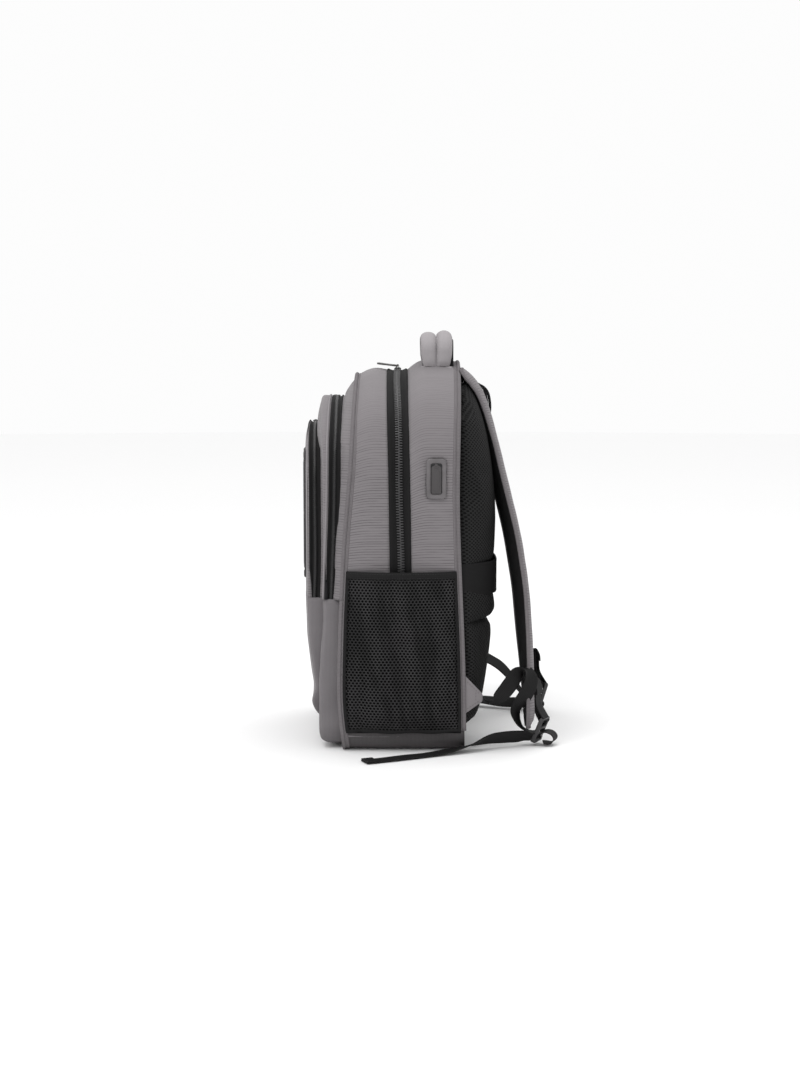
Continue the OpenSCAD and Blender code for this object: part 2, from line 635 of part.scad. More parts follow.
// Steel shell of the USB socket
module port_socket() metal() difference() {
    translate([port_x - 11.5, port_y - 3, port_z - 7]) cube([12.6, 6, 14]);
    translate([port_x - 10.5, port_y - 2.4, port_z - 6.4]) cube([12, 4.8, 12.8]);
}

// Rubber flap over the socket, hinged along its lower edge, with a finger peak at its top
module port_cover() color([0.26, 0.25, 0.26]) union() {
    half = (port_w - 12) / 2;
    tall = (port_h - 12) / 2;
    translate([0, port_y, port_z]) along_x(port_x + 1.8, port_x + 4.2) polygon(
        [[-half, -tall + 1], [half, -tall + 1], [half, tall - 3], [3, tall - 3], [0, tall], [-3, tall - 3],
         [-half, tall - 3]]);
    translate([port_x + 3, port_y - half, port_z - tall + 1]) rotate([-90, 0, 0])
        cylinder(r = 1, h = 2 * half, $fn = 24);
}

module power_bank() color([0.1, 0.1, 0.11]) translate([0, 19, 185]) along_x(128, 142) round_rect(54, 128, 6);

// Fabric sleeve that holds the power bank to the side wall
module power_bank_sleeve() color([0.16, 0.16, 0.17]) difference() {
    along_x(125, 146.8) polygon(block(-11, 49, 117, 225));
    along_x(126.5, 145.3) polygon(block(-9.4, 47.4, 118.5, 226));
}

// Lead from the socket to the power bank
lead_path = [[138.5, 43, 329], [132, 43, 329], [126, 41, 323], [122, 36, 308], [122, 30, 288], [128, 25, 273],
             [133, 23, 266], [134.5, 23, 261], [134.5, 23, 258.9]];
module charging_lead() black() {
    tube(lead_path, 3.6);
    translate([130, 17, 249.4]) cube([9, 12, 9.5]);
}

// ---------- assembly ----------

base_panel();
rear_gusset();
back_panel();
frame_sheet();
base_board();
lower_tub();
laptop_divider();
upper_back_pads();
lumbar_pads();
lower_back_pads();
luggage_strap();
back_piping();
front_piping_lower();
middle_pocket_lower();
front_pocket_lower();
main_zip_rear();
strap_yoke();
handle_anchors();
strap_tab_right();
strap_tab_left();
port_frame();
port_socket();
port_cover();
power_bank();
power_bank_sleeve();
charging_lead();
main_front_panel();
front_piping_upper();
main_zip_front();
middle_pocket_rear();
middle_zip_rear();
middle_pocket_front();
middle_zip_front();
front_zip_rear();
front_face();
front_zip_front();
solar_border();
solar_laminate();
solar_cells();
solar_snaps();
junction_box();
main_slider_right();
main_slider_left();
middle_slider();
front_slider();
main_pull_right();
main_pull_left();
middle_pull();
front_pull();
mesh_pocket_right();
mesh_pocket_left();
top_handle();
strap_right();
strap_mesh_right();
strap_webbing_right();
strap_left();
strap_mesh_left();
strap_webbing_left();
ladder_lock_right();
ladder_lock_left();
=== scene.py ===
"""Looks of the solar backpack: fabric, padding, zips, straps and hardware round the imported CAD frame.

Shapes are worked out in millimetres and put() turns them into metres.
+X is the wearer's right, -Y the front of the bag, +Z up.
"""
import contextlib
import math

import bmesh
import bpy
import numpy as np
from mathutils import Matrix, Vector, noise


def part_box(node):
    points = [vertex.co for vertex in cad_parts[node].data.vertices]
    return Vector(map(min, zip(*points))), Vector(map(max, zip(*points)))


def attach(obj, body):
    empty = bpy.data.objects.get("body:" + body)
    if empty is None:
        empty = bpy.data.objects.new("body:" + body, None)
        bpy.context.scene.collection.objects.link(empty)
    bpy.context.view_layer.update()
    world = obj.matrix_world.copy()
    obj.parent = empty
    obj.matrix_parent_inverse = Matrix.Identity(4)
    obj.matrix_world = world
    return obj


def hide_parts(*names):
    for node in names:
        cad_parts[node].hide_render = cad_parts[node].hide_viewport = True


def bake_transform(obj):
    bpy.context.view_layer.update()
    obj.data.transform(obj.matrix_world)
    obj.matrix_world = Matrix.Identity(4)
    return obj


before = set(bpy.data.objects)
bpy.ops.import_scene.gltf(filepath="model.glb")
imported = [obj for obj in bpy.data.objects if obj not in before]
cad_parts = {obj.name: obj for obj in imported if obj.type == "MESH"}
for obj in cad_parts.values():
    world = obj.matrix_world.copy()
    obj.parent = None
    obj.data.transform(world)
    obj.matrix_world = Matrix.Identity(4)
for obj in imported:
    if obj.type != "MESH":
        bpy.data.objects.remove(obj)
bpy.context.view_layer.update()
MM = 0.001
X, Y, Z = range(3)


def span(node, axis):
    """Lowest and highest millimetre of a CAD node along an axis."""
    low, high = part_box(node)
    return low[axis] / MM, high[axis] / MM


def middle_of(node, axis):
    return sum(span(node, axis)) / 2


def size_of(node, axis):
    low, high = span(node, axis)
    return high - low


# ---------- camera, floor and light ----------

CAMERA_DISTANCE = 2.3
CAMERA_ELEVATION = math.radians(6)
LOOK_AT = Vector((0, 0, 0.2338))
LENS, SENSOR = 59.66, 36
LIGHT_AT = Vector((0, 0, 0.2))  # where both lamps point
SKY_STRENGTH = 0.98


def placed(name, data):
    """A new object in the scene."""
    thing = bpy.data.objects.new(name, data)
    bpy.context.scene.collection.objects.link(thing)
    return thing


def aimed(name, data, where, target):
    """A camera or a lamp that points at a target."""
    thing = placed(name, data)
    thing.location = where
    thing.rotation_euler = (target - thing.location).to_track_quat("-Z", "Y").to_euler()
    return thing


camera_data = bpy.data.cameras.new("camera")
camera_data.lens = LENS
camera_data.sensor_width = SENSOR
eye_line = Vector((math.cos(CAMERA_ELEVATION), 0, math.sin(CAMERA_ELEVATION)))
bpy.context.scene.camera = aimed("camera", camera_data, LOOK_AT + CAMERA_DISTANCE * eye_line, LOOK_AT)
bpy.context.scene.view_settings.view_transform = "Standard"
for name, where, size, power in (("key_light", (1.3, -0.9, 2.4), 1.6, 26), ("top_light", (-0.6, 0.5, 2.6), 1.8, 18)):
    light = bpy.data.lights.new(name, "AREA")
    light.energy = power
    light.shape = "DISK"
    light.size = size
    aimed(name, light, where, LIGHT_AT)

world = bpy.data.worlds.new("studio")
world.use_nodes = True
sky = world.node_tree.nodes["Background"].inputs
sky["Color"].default_value = (1, 1, 1, 1)
sky["Strength"].default_value = SKY_STRENGTH
bpy.context.scene.world = world

# ---------- materials ----------


def srgb(*levels):
    """Linear colour from 0 to 255 screen levels."""
    steps = [c / 255 for c in levels]
    return tuple(c / 12.92 if c <= 0.04045 else ((c + 0.055) / 1.055) ** 2.4 for c in steps) + (1,)


class Value:
    """A node's output socket in a Graph, on which Python's arithmetic makes math nodes."""

    def __init__(self, graph, socket):
        self.graph, self.socket = graph, socket

    def __add__(self, other):
        return self.graph.math("ADD", self, other)

    def __sub__(self, other):
        return self.graph.math("SUBTRACT", self, other)

    def __mul__(self, other):
        return self.graph.math("MULTIPLY", self, other)

    def __truediv__(self, other):
        return self.graph.math("DIVIDE", self, other)

    def __abs__(self):
        return self.graph.math("ABSOLUTE", self)

    def wave(self, rate):
        """Sine of the value times a rate."""
        return self.graph.math("SINE", self * rate)

    def scaled(self, factor, offset):
        return self.graph.math("MULTIPLY_ADD", self, factor, offset)


class Graph:
    """Short hand for a node material. Every call returns the new node's output as a Value."""

    def __init__(self, name, **sockets):
        self.material = bpy.data.materials.new(name)
        self.material.use_nodes = True
        self.tree = self.material.node_tree
        self.shader = self.tree.nodes["Principled BSDF"]
        for socket, value in sockets.items():
            self.shader.inputs[socket.replace("_", " ")].default_value = value

    def add(self, kind, *values, out=0, **settings):
        node = self.tree.nodes.new("ShaderNode" + kind)
        for key, value in settings.items():
            setattr(node, key, value)
        for i, value in enumerate(values):
            if isinstance(value, Value):
                self.tree.links.new(value.socket, node.inputs[i])
            elif value is not None:
                node.inputs[i].default_value = value
        return Value(self, node.outputs[out])

    def math(self, operation, *values):
        return self.add("Math", *values, operation=operation)

    def mix(self, factor, a, b):
        return self.add("Mix", factor, None, None, None, None, None, a, b, out=2, data_type="RGBA")

    def step(self, value, low, high, start=0.0, end=1.0):
        """Smooth step from start to end as value goes from low to high."""
        return self.add("MapRange", value, low, high, start, end, interpolation_type="SMOOTHSTEP")

    def place(self, source="UV"):
        """The two texture directions, in millimetres: across and along the cloth, X and Z, or round
        the rear corners of the bag and Z."""
        vector = self.add("TexCoord", out=2 if source == "UV" else 3)
        parts = self.tree.nodes.new("ShaderNodeSeparateXYZ")
        self.tree.links.new(vector.socket, parts.inputs[0])
        x, y, z = (Value(self, part) * 1000 for part in parts.outputs)
        if source == "Round":
            x = abs(x) * 0.8 - y * 0.7
        return (x, y) if source == "UV" else (x, z)

    def noise(self, u, v, scale_u, scale_v, detail=2.0, seed=0.0):
        """Noise from 0 to 1 with its own scale each way, in cycles per millimetre."""
        spot = self.add("CombineXYZ", u * scale_u, v * scale_v, seed)
        return self.add("TexNoise", spot, None, 1.0, detail)

    def finish(self, color, height=None, distance=0.3, roughness=None):
        self.tree.links.new(color.socket, self.shader.inputs["Base Color"])
        if roughness:
            self.tree.links.new(roughness.socket, self.shader.inputs["Roughness"])
        if height:
            bump = self.add("Bump", 1.0, distance * MM, 1.0, height)
            self.tree.links.new(bump.socket, self.shader.inputs["Normal"])
        return self.material


def toned(factor, color):
    """A lighter or darker shade of a colour."""
    return [factor * c for c in color[:3]] + [1]


def ribbed_polyester(name, light, dark):
    """Heather cloth with thin dark cross lines of uneven strength. Towards the top of the bag the lines are painted
    fainter, as painted light where the cloth turns up to the sky.
    """
    g = Graph(name, Roughness=0.86, Sheen_Weight=0.12, Sheen_Roughness=0.5, Specular_IOR_Level=0.25)
    u, v = g.place()
    place = v / RIB
    row, part = g.math("FLOOR", place), g.math("FRACT", place)
    jitter = g.add("TexWhiteNoise", None, row, noise_dimensions="1D")
    away = abs(part - jitter.scaled(0.34, 0.33))
    streak = g.step(g.noise(u, row, 0.03, 3.7, 3.0, 2.0), 0.3, 0.62, 0.3)
    # The lines' strength falls towards the top: painted light on cloth that faces the sky.
    groove = g.step(away, 0.04, 0.17, 1.0, 0.0) * streak * g.step(v, *RIB_FADE, 1.0, 0.45)
    weave = u.wave(2 * math.pi / 0.62) * v.wave(2 * math.pi / 0.8)
    heather = g.noise(u, v, 0.5, 1.9, 2.0, 5.0)
    cloud = g.noise(u, v, 0.012, 0.016, 2.0, 9.0)
    tone = weave.scaled(0.05, heather.scaled(0.34, 0.1) + cloud * 0.4)
    cloth = g.mix(tone, toned(0.86, light), toned(1.16, light))
    return g.finish(g.mix(groove * 0.85, cloth, dark), weave * 0.18 - groove, 0.25)


def woven(name, light, dark, pitch_u, pitch_v, depth, roughness=0.7, source="UV", folds=0.0):
    """Plain cloth or webbing with raised cross threads; folds is how much painted shade of long soft creases darkens
    and lightens it.
    """
    g = Graph(name, Roughness=roughness, Specular_IOR_Level=0.2)
    u, v = g.place(source)
    along = v + g.math("PINGPONG", u, pitch_u) * 0.6
    thread = along.wave(2 * math.pi / pitch_v).scaled(0.5, 0.5)
    column = u.wave(math.pi / pitch_u).scaled(0.5, 0.5)
    height = thread.scaled(0.6, column * 0.4)
    shade = height * g.noise(u, v, 0.03, 0.05, 3.0).scaled(0.6, 0.5)
    if folds:
        # Painted shade of long soft creases: the colour darkens and lightens along stretched noise.
        painted_crease_shade = g.step(g.noise(u + v * 0.15, v, 0.055, 0.011, 2.0, 7.0), 0.36, 0.64)
        shade = shade * painted_crease_shade.scaled(2 * folds, 1 - folds)
    return g.finish(g.mix(shade, dark, light), height, depth)


def knit(name, light, dark, cell, tall, source="UV"):
    """Spacer mesh: rows of small oval holes in a springy knit, painted near-black as shade in their depth."""
    g = Graph(name, Roughness=0.9, Specular_IOR_Level=0.15)
    u, v = g.place(source)
    drift = g.noise(u, v, 0.02, 0.02, 2.0) * 5.0
    u, v = u + drift, v + drift
    column, row = u / cell, v / tall
    web = abs((column + row).wave(math.pi) * (column - row).wave(math.pi))
    # pit marks the holes; their dark colour is painted shade.
    pit = g.step(web, 0.35, 0.65)
    fuzz = g.noise(u, v, 1.3, 1.3, 3.0, 3.0)
    return g.finish(g.mix(pit.scaled(0.75, fuzz * 0.25), light, dark), fuzz * 0.15 - pit, 0.8)


def moulded(name, color, roughness, grain, metal=0.0, scale=0.9, blotch_tone=None):
    """Plastic, rubber or metal with a fine moulded grain, broad blotches of a second tone and slightly uneven gloss.
    """
    g = Graph(name, Metallic=metal)
    spot = g.add("TexCoord", out=3)
    fine = g.add("TexNoise", spot, None, scale * 1000, 3.0)
    broad = g.add("TexNoise", spot, None, 45.0, 2.0)
    shade = g.mix(broad, toned(0.88, color), blotch_tone or toned(1.15, color))
    return g.finish(shade, fine, grain, broad.scaled(0.16, roughness - 0.08))


RIB = 3.2  # millimetres between the cloth's cross lines
RIB_FADE = 300.0, 430.0  # heights between which they fade, as painted light on the upturned top

MAT = {
    "grey": ribbed_polyester("grey_polyester", srgb(119, 115, 117), srgb(70, 67, 69)),
    "binding": woven("grey_binding", srgb(128, 124, 126), srgb(84, 80, 82), 0.9, 1.7, 0.3, 0.85),
    "webbing": woven("black_webbing", srgb(27, 26, 27), srgb(15, 15, 15), 1.1, 1.5, 0.25, 0.7),
    "tape": woven("zip_tape", srgb(25, 24, 25), srgb(12, 12, 12), 0.8, 0.9, 0.15, 0.75),
    "mesh": knit("black_air_mesh", srgb(40, 40, 40), srgb(5, 5, 5), 5.6, 4.5, source="Round"),
    "strap_mesh": knit("strap_air_mesh", srgb(38, 37, 38), srgb(6, 6, 6), 3.6, 3.0),
    "plain": woven("plain_polyester", srgb(131, 127, 129), srgb(98, 95, 97), 0.8, 0.9, 0.12, 0.86),
    "light": woven("light_polyester", srgb(168, 164, 166), srgb(136, 132, 134), 0.8, 0.9, 0.12, 0.86),
    "pale_binding": woven("pale_binding", srgb(150, 146, 148), srgb(108, 105, 107), 0.9, 1.7, 0.25, 0.86),
    # The grey cloth again, darker as painted shade on the foot strip that curves under the bag.
    "boot": woven("foot_polyester_painted_shade", srgb(92, 89, 90), srgb(60, 58, 59), 0.8, 1.1, 0.2, 0.8),
    # The net's folds value paints soft crease shade into its colour.
    "net": woven("black_stretch_mesh", srgb(62, 61, 62), srgb(22, 22, 22), 0.5, 0.7, 0.12, 0.8, folds=0.5),
    "dark": woven("pocket_lining", srgb(9, 9, 10), srgb(4, 4, 4), 0.7, 0.7, 0.1, 0.9),
    "lining": woven("lining", srgb(40, 39, 41), srgb(26, 25, 27), 0.7, 0.7, 0.1, 0.8),
    # On the zip coils the lighter blotches are painted highlights.
    "coil": moulded("zip_coil", srgb(34, 33, 34), 0.35, 0.05, blotch_tone=srgb(70, 69, 70)),
    "small_coil": moulded("small_zip_coil", srgb(24, 24, 24), 0.4, 0.05, blotch_tone=srgb(48, 47, 48)),
    "metal": moulded("zip_metal", srgb(44, 43, 44), 0.42, 0.03, 0.6, blotch_tone=srgb(88, 86, 85)),
    "plastic": moulded("buckle_plastic", srgb(40, 39, 40), 0.42, 0.08),
    "port": moulded("port_plastic", srgb(56, 53, 54), 0.36, 0.1, blotch_tone=srgb(118, 114, 116)),
    "rubber": moulded("port_rubber", srgb(58, 55, 56), 0.55, 0.14, scale=0.6),
    "thread": woven("thread", srgb(120, 116, 118), srgb(80, 77, 79), 0.4, 0.6, 0.1),
    "black_thread": woven("black_thread", srgb(58, 57, 58), srgb(30, 30, 30), 0.4, 0.6, 0.1),
    "resin": moulded("solar_resin", srgb(20, 23, 30), 0.2, 0.01, blotch_tone=srgb(28, 31, 38)),
    "panel_cloth": woven("solar_fabric", srgb(96, 93, 95), srgb(66, 64, 65), 0.8, 0.8, 0.2, 0.75, "Object"),
    "stiffener": moulded("stiffener", srgb(196, 194, 186), 0.55, 0.1),
    "battery": moulded("battery_case", srgb(34, 34, 36), 0.4, 0.08),
    "jacket": moulded("cable_jacket", srgb(30, 30, 30), 0.5, 0.08),
    "steel": moulded("steel", srgb(190, 188, 184), 0.28, 0.02, 1.0),
    "lining_solid": woven("sleeve_lining", srgb(50, 49, 51), srgb(32, 31, 33), 0.7, 0.7, 0.1, 0.8, "Object"),
}

# ---------- sizes, from the frame ----------

BODY_W = 2 * span("rear_gusset", X)[1]
REAR_H = span("rear_gusset", Z)[1]
FRONT_H = span("main_front_panel", Z)[1]
MIDDLE_W = 2 * span("middle_pocket_rear", X)[1]
MIDDLE_H = span("middle_pocket_rear", Z)[1]
POCKET_W = 2 * span("front_face", X)[1]
POCKET_H = span("front_face", Z)[1]
FACE_Y = span("front_face", Y)[0]
MIDDLE_FACE_Y = span("middle_pocket_lower", Y)[0]
ZIP_Y = span("main_zip_front", Y)[0], span("main_zip_rear", Y)[1]
MIDDLE_ZIP_Y = span("middle_zip_front", Y)[0], span("middle_zip_rear", Y)[1]
FRONT_ZIP_Y = span("front_zip_front", Y)[0], span("front_zip_rear", Y)[1]
PORT = [middle_of("port_frame", axis) for axis in (X, Y, Z)]
PORT_W, PORT_H = size_of("port_frame", Y), size_of("port_frame", Z)
MESH_Z, MOUTH_Z = span("mesh_pocket_right", Z)
FOLD_Z = span("main_front_panel", Z)[0] - 0.5  # line about which every lid folds
FOLD_START = 120  # height from which the cloth below the fold bends with the lid
LID_BLEND = 24  # height over which a pocket's lid bends away from the lid behind it
BOOT_Z = 26  # top of the strip round the foot of the bag
CROWN_R = 180  # broad arch at the top of every panel
CROWN_A = math.radians(40)  # half its angle
NARROW_CROWN_A = math.radians(30)
NARROW_W = 250

# Side view of the bag: (height, depth) up the front seam and the back seam
FRONT_SEAM = [(0, -64), (63, -70), (140, -69), (200, -66.5), (240, -64.5), (280, -61.5), (320, -58), (360, -55),
              (477, -50)]
BACK_SEAM = [(0, 75), (112, 73), (304, 66), (486, 70)]


def spline(points, count):
    """A smooth line of count points through given points."""
    p = np.array(points, float)
    p = np.vstack([2 * p[0] - p[1], p, 2 * p[-1] - p[-2]])
    t = np.linspace(0, len(points) - 1, count)
    i = np.minimum(t.astype(int), len(points) - 2)
    f = (t - i)[:, None]
    a, b, c, d = p[i], p[i + 1], p[i + 2], p[i + 3]
    return 0.5 * (2 * b + (c - a) * f + (2 * a - 5 * b + 4 * c - d) * f**2 + (3 * b - a - 3 * c + d) * f**3)


def along(points):
    """A smooth function through points of (place, value)."""
    line = spline(points, 120)
    return lambda place: np.interp(place, line[:, 0], line[:, 1])


def level(depth):
    """The same depth at every height."""
    return lambda z: depth + 0 * z


front_seam = along(FRONT_SEAM)
back_seam = along(BACK_SEAM)


def length_along(points):
    return np.concatenate([[0], np.cumsum(np.linalg.norm(np.diff(points, axis=0), axis=1))])


def unit(vectors):
    return vectors / np.linalg.norm(vectors, axis=-1)[..., None]


def square(vectors, way):
    """Unit vectors at right angles to unit directions, nearest to the given ones."""
    return unit(vectors - (vectors * way).sum(1)[:, None] * way)


def both_halves(right):
    """A whole line from its right half, which ends on the middle line."""
    return np.array(right + [(-x, z) for x, z in right[-2::-1]])


class Hoop:
    """Front view of a panel above a height: up its right side, over the arch and down its left side."""

    def __init__(self, width, top, foot, pitch=5, rises=None):
        self.half, self.top, self.foot = width / 2, top, foot
        self.angle = NARROW_CROWN_A if width < NARROW_W else CROWN_A
        self.rises = rises or max(3, round((self.parts(0)[3] - foot) / pitch))
        line = self.at(0)
        self.run = foot + length_along(line)  # equals the height, up the right side

    def parts(self, inset):
        """Half the width, the crown's and shoulders' radii, and the middles of the shoulder and the crown."""
        half, top, r1 = self.half - inset, self.top - inset, CROWN_R - inset
        r2 = (half - r1 * math.sin(self.angle)) / (1 - math.sin(self.angle))
        sx = (r1 - r2) * math.sin(self.angle)
        sz = top - r1 + (r1 - r2) * math.cos(self.angle)
        return half, r1, r2, sz, sx, top - r1

    def at(self, inset):
        half, r1, r2, sz, sx, cz = self.parts(inset)
        side = [(half, z) for z in np.linspace(self.foot, sz, self.rises, endpoint=False)]
        turn = np.linspace(0, math.pi / 2 - self.angle, 14, endpoint=False)
        shoulder = [(sx + r2 * math.cos(t), sz + r2 * math.sin(t)) for t in turn]
        crown = [(r1 * math.sin(t), cz + r1 * math.cos(t)) for t in np.linspace(self.angle, 0, 20)]
        return both_halves(side + shoulder + crown)

    def ends(self, inset, x):
        """Lowest and highest height of the panel at a distance from its middle."""
        _, r1, r2, sz, sx, cz = self.parts(inset)
        x = abs(x)
        if x < r1 * math.sin(self.angle):
            return self.foot, cz + math.sqrt(r1**2 - x**2)
        return self.foot, sz + math.sqrt(max(0, r2**2 - (x - sx) ** 2))


class Cradle:
    """Front view of a panel below a height: down its right side, along the bottom and up its left side."""

    def __init__(self, width, head, foot=0, corner=26, pitch=6):
        self.half, self.head, self.foot, self.corner = width / 2, head, foot, corner
        self.drops = max(2, round((head - foot - corner) / pitch))
        self.run = head - length_along(self.at(0))

    def at(self, inset):
        half, r, z = self.half - inset, self.corner - inset, self.foot + self.corner
        side = [(half, h) for h in np.linspace(self.head, z, self.drops, endpoint=False)]
        turn = np.linspace(0, -math.pi / 2, 12, endpoint=False)
        corner = [(half - r + r * math.cos(t), z + r * math.sin(t)) for t in turn]
        bottom = [(x, self.foot + inset) for x in np.linspace(half - r, 0, 16)]
        return both_halves(side + corner + bottom)

    def ends(self, inset, x):
        half, r, z = self.half - inset, self.corner - inset, self.foot + self.corner
        over = max(0, abs(x) - (half - r))
        return z - math.sqrt(max(0, r**2 - over**2)), self.head


# ---------- mesh helpers ----------


def put(name, points, faces, material, uv=None, smooth=True):
    """A mesh object from millimetre points; uv has one pair, in metres, for each corner of each face."""
    mesh = bpy.data.meshes.new(name)
    mesh.from_pydata((np.asarray(points, float) * MM).tolist(), [], faces)
    if uv is not None:
        layer = mesh.uv_layers.new(name="UVMap")
        layer.data.foreach_set("uv", np.asarray(uv, np.float32).ravel())
    mesh.materials.append(MAT[material])
    mesh.polygons.foreach_set("use_smooth", [smooth] * len(mesh.polygons))
    return placed(name, mesh)


@contextlib.contextmanager
def editing(mesh):
    """Opens a mesh for bmesh work and writes it back."""
    bm = bmesh.new()
    bm.from_mesh(mesh)
    yield bm
    bm.to_mesh(mesh)
    bm.free()


def tidied(piece):
    """Turns the faces of a piece made of closed solids outward."""
    with editing(piece.data) as bm:
        bmesh.ops.recalc_face_normals(bm, faces=bm.faces)
    return piece


def outward(piece, middle=None):
    """Turns a piece's faces away from a point in millimetres, or outward if it is a closed solid."""
    mesh = piece.data
    total = 0.0
    centre = Vector(middle or (0, 0, 0)) * MM
    for face in mesh.polygons:
        total += face.normal.dot(face.center - centre) * face.area
    if total < 0:
        mesh.flip_normals()
    return piece


def grid(name, P, U, V, material, closed=False, middle=None):
    """A sheet from rows of points. U and V are its texture coordinates in millimetres, on the same grid."""
    P = np.asarray(P, float)
    rows, columns = P.shape[:2]
    across = columns if closed else columns - 1
    faces, corners = [], []
    for i in range(rows - 1):
        for j in range(across):
            k = (j + 1) % columns
            faces.append((i * columns + j, i * columns + k, (i + 1) * columns + k, (i + 1) * columns + j))
            corners += [(i, j), (i, j + 1), (i + 1, j + 1), (i + 1, j)]
    corners = np.array(corners)
    uv = np.column_stack([U[corners[:, 0], corners[:, 1]], V[corners[:, 0], corners[:, 1]]]) * MM
    return outward(put(name, P.reshape(-1, 3), faces, material, uv), middle)


WRINKLE = 34  # how broad a wrinkle in a large piece of cloth is


def ripple(points, size, seed):
    """Smooth noise from -1 to 1 at each point, with bumps about size millimetres across."""
    shift = Vector((17.3 * seed, 5.1 * seed, 9.7 * seed))
    flat = np.reshape(points, (-1, 3)) / size
    return np.reshape([noise.noise(Vector(p) + shift) for p in flat], np.shape(points)[:-1])


def band(name, outline, rows, material, wrinkle=0.0, size=28, seed=1, middle=(0, 0, 250)):
    """Cloth along an outline. rows are (inset, depth) across it, and a depth may be a function of height."""
    P = []
    for inset, depth in rows:
        line = outline.at(inset)
        y = depth(line[:, 1]) if callable(depth) else np.full(len(line), float(depth))
        P.append(np.column_stack([line[:, 0], y, line[:, 1]]))
    P = np.array(P)
    away = unit(outline.at(0) - outline.at(1))
    inner = np.sin(np.pi * np.linspace(0, 1, len(rows)))[:, None]
    push = wrinkle * inner * ripple(P, size, seed)
    P[..., X] += push * away[:, 0]
    P[..., Z] += push * away[:, 1]
    V = np.repeat(outline.run[None], len(rows), 0)
    return grid(name, P, P[..., Y], V, material, middle=middle)


def gusset_rows(front, back, swell, count):
    """Rows for band() between two seams, with the cloth standing swell proud between them."""
    return [(-swell * (1 - (2 * t - 1) ** 2), lambda z, t=t: front(z) * (1 - t) + back(z) * t)
            for t in np.linspace(0, 1, count)]


def face(name, outline, depth, material, inset, count, wrinkle, seed, middle):
    """Cloth across a panel. depth(x, z, d) gives its place, with d the distance in from the panel's edge."""
    half = outline.half - inset
    xs = half * np.sin(np.linspace(-math.pi / 2, math.pi / 2, count[0] + 1))
    P, D = [], []
    for x in xs:
        low, high = outline.ends(inset, x)
        zs = np.linspace(low, high, count[1] + 1)
        top = 1e9 if isinstance(outline, Cradle) else high
        bottom = 1e9 if isinstance(outline, Hoop) else low
        d = np.minimum(half - abs(x), np.minimum(abs(top - zs), abs(zs - bottom)) * 0.9)
        P.append([(x, depth(x, z, max(0, e)), z) for z, e in zip(zs, d)])
        D.append(d)
    P, D = np.array(P), np.array(D)
    P[..., Y] += wrinkle * np.clip(D / 14, 0, 1) * ripple(P, WRINKLE, seed)
    return grid(name, P, P[..., X], P[..., Z], material, middle=middle)


def sweep(name, path, side, section, material):
    """A solid along a path. side is its width direction at each point, and section holds its
    outline as (across, up) pairs, one outline for all points or one for each."""
    path = np.asarray(path, float)
    n = len(path)
    section = np.asarray(section, float)
    if section.ndim == 2:
        section = np.repeat(section[None], n, 0)
    way = unit(np.gradient(path, axis=0))
    side = square(np.broadcast_to(np.asarray(side, float), path.shape), way)
    up = np.cross(way, side)
    P = path[:, None] + section[..., :1] * side[:, None] + section[..., 1:] * up[:, None]
    m = section.shape[1]
    ring = np.vstack([section[n // 2], section[n // 2][:1]])
    U = np.repeat(length_along(ring)[None], n, 0)
    V = np.repeat(length_along(path)[:, None], m + 1, 1)
    piece = grid(name, P, U, V, material, closed=True, middle=(0, 0, 0))
    with editing(piece.data) as bm:
        bm.verts.ensure_lookup_table()
        for start in (0, (n - 1) * m):
            bm.faces.new([bm.verts[start + k] for k in range(m)]).smooth = False
        bmesh.ops.recalc_face_normals(bm, faces=bm.faces)
    return piece


def travel(path):
    """A width direction that turns as little as possible along a path."""
    way = unit(np.gradient(np.asarray(path, float), axis=0))
    side = np.cross(way[0], (0, 0, 1) if abs(way[0][2]) < 0.9 else (0, 1, 0))
    sides = []
    for t in way:
        side = side - side.dot(t) * t
        side /= np.linalg.norm(side)
        sides.append(side)
    return np.array(sides)


def circle(radius, count):
    return [(radius * math.cos(a), radius * math.sin(a)) for a in np.linspace(0, 2 * math.pi, count, endpoint=False)]


def tube(name, path, radius, material, count):
    return sweep(name, path, travel(path), circle(radius, count), material)


def flat_band(width, thick, count=9):
    """Section of webbing: flat with rounded edges and a slightly thicker selvedge."""
    half, r = width / 2 - thick / 2, thick / 2
    turn = np.linspace(-math.pi / 2, math.pi / 2, 5)
    right = [(half + r * math.cos(t), r * math.sin(t)) for t in turn]
    top = [(x, r * 0.9) for x in np.linspace(half, -half, count)[1:-1]]
    left = [(-x, -z) for x, z in right]
    bottom = [(-x, -z) for x, z in top]
    return right + top + left + bottom


def webbing(name, path, side, width, thick, count):
    """Flat webbing through given points, with its width direction at each point, or one for all."""
    sides = [side] * len(path) if np.ndim(side) == 1 else side
    return sweep(name, spline(path, count), spline(sides, count), flat_band(width, thick), "webbing")


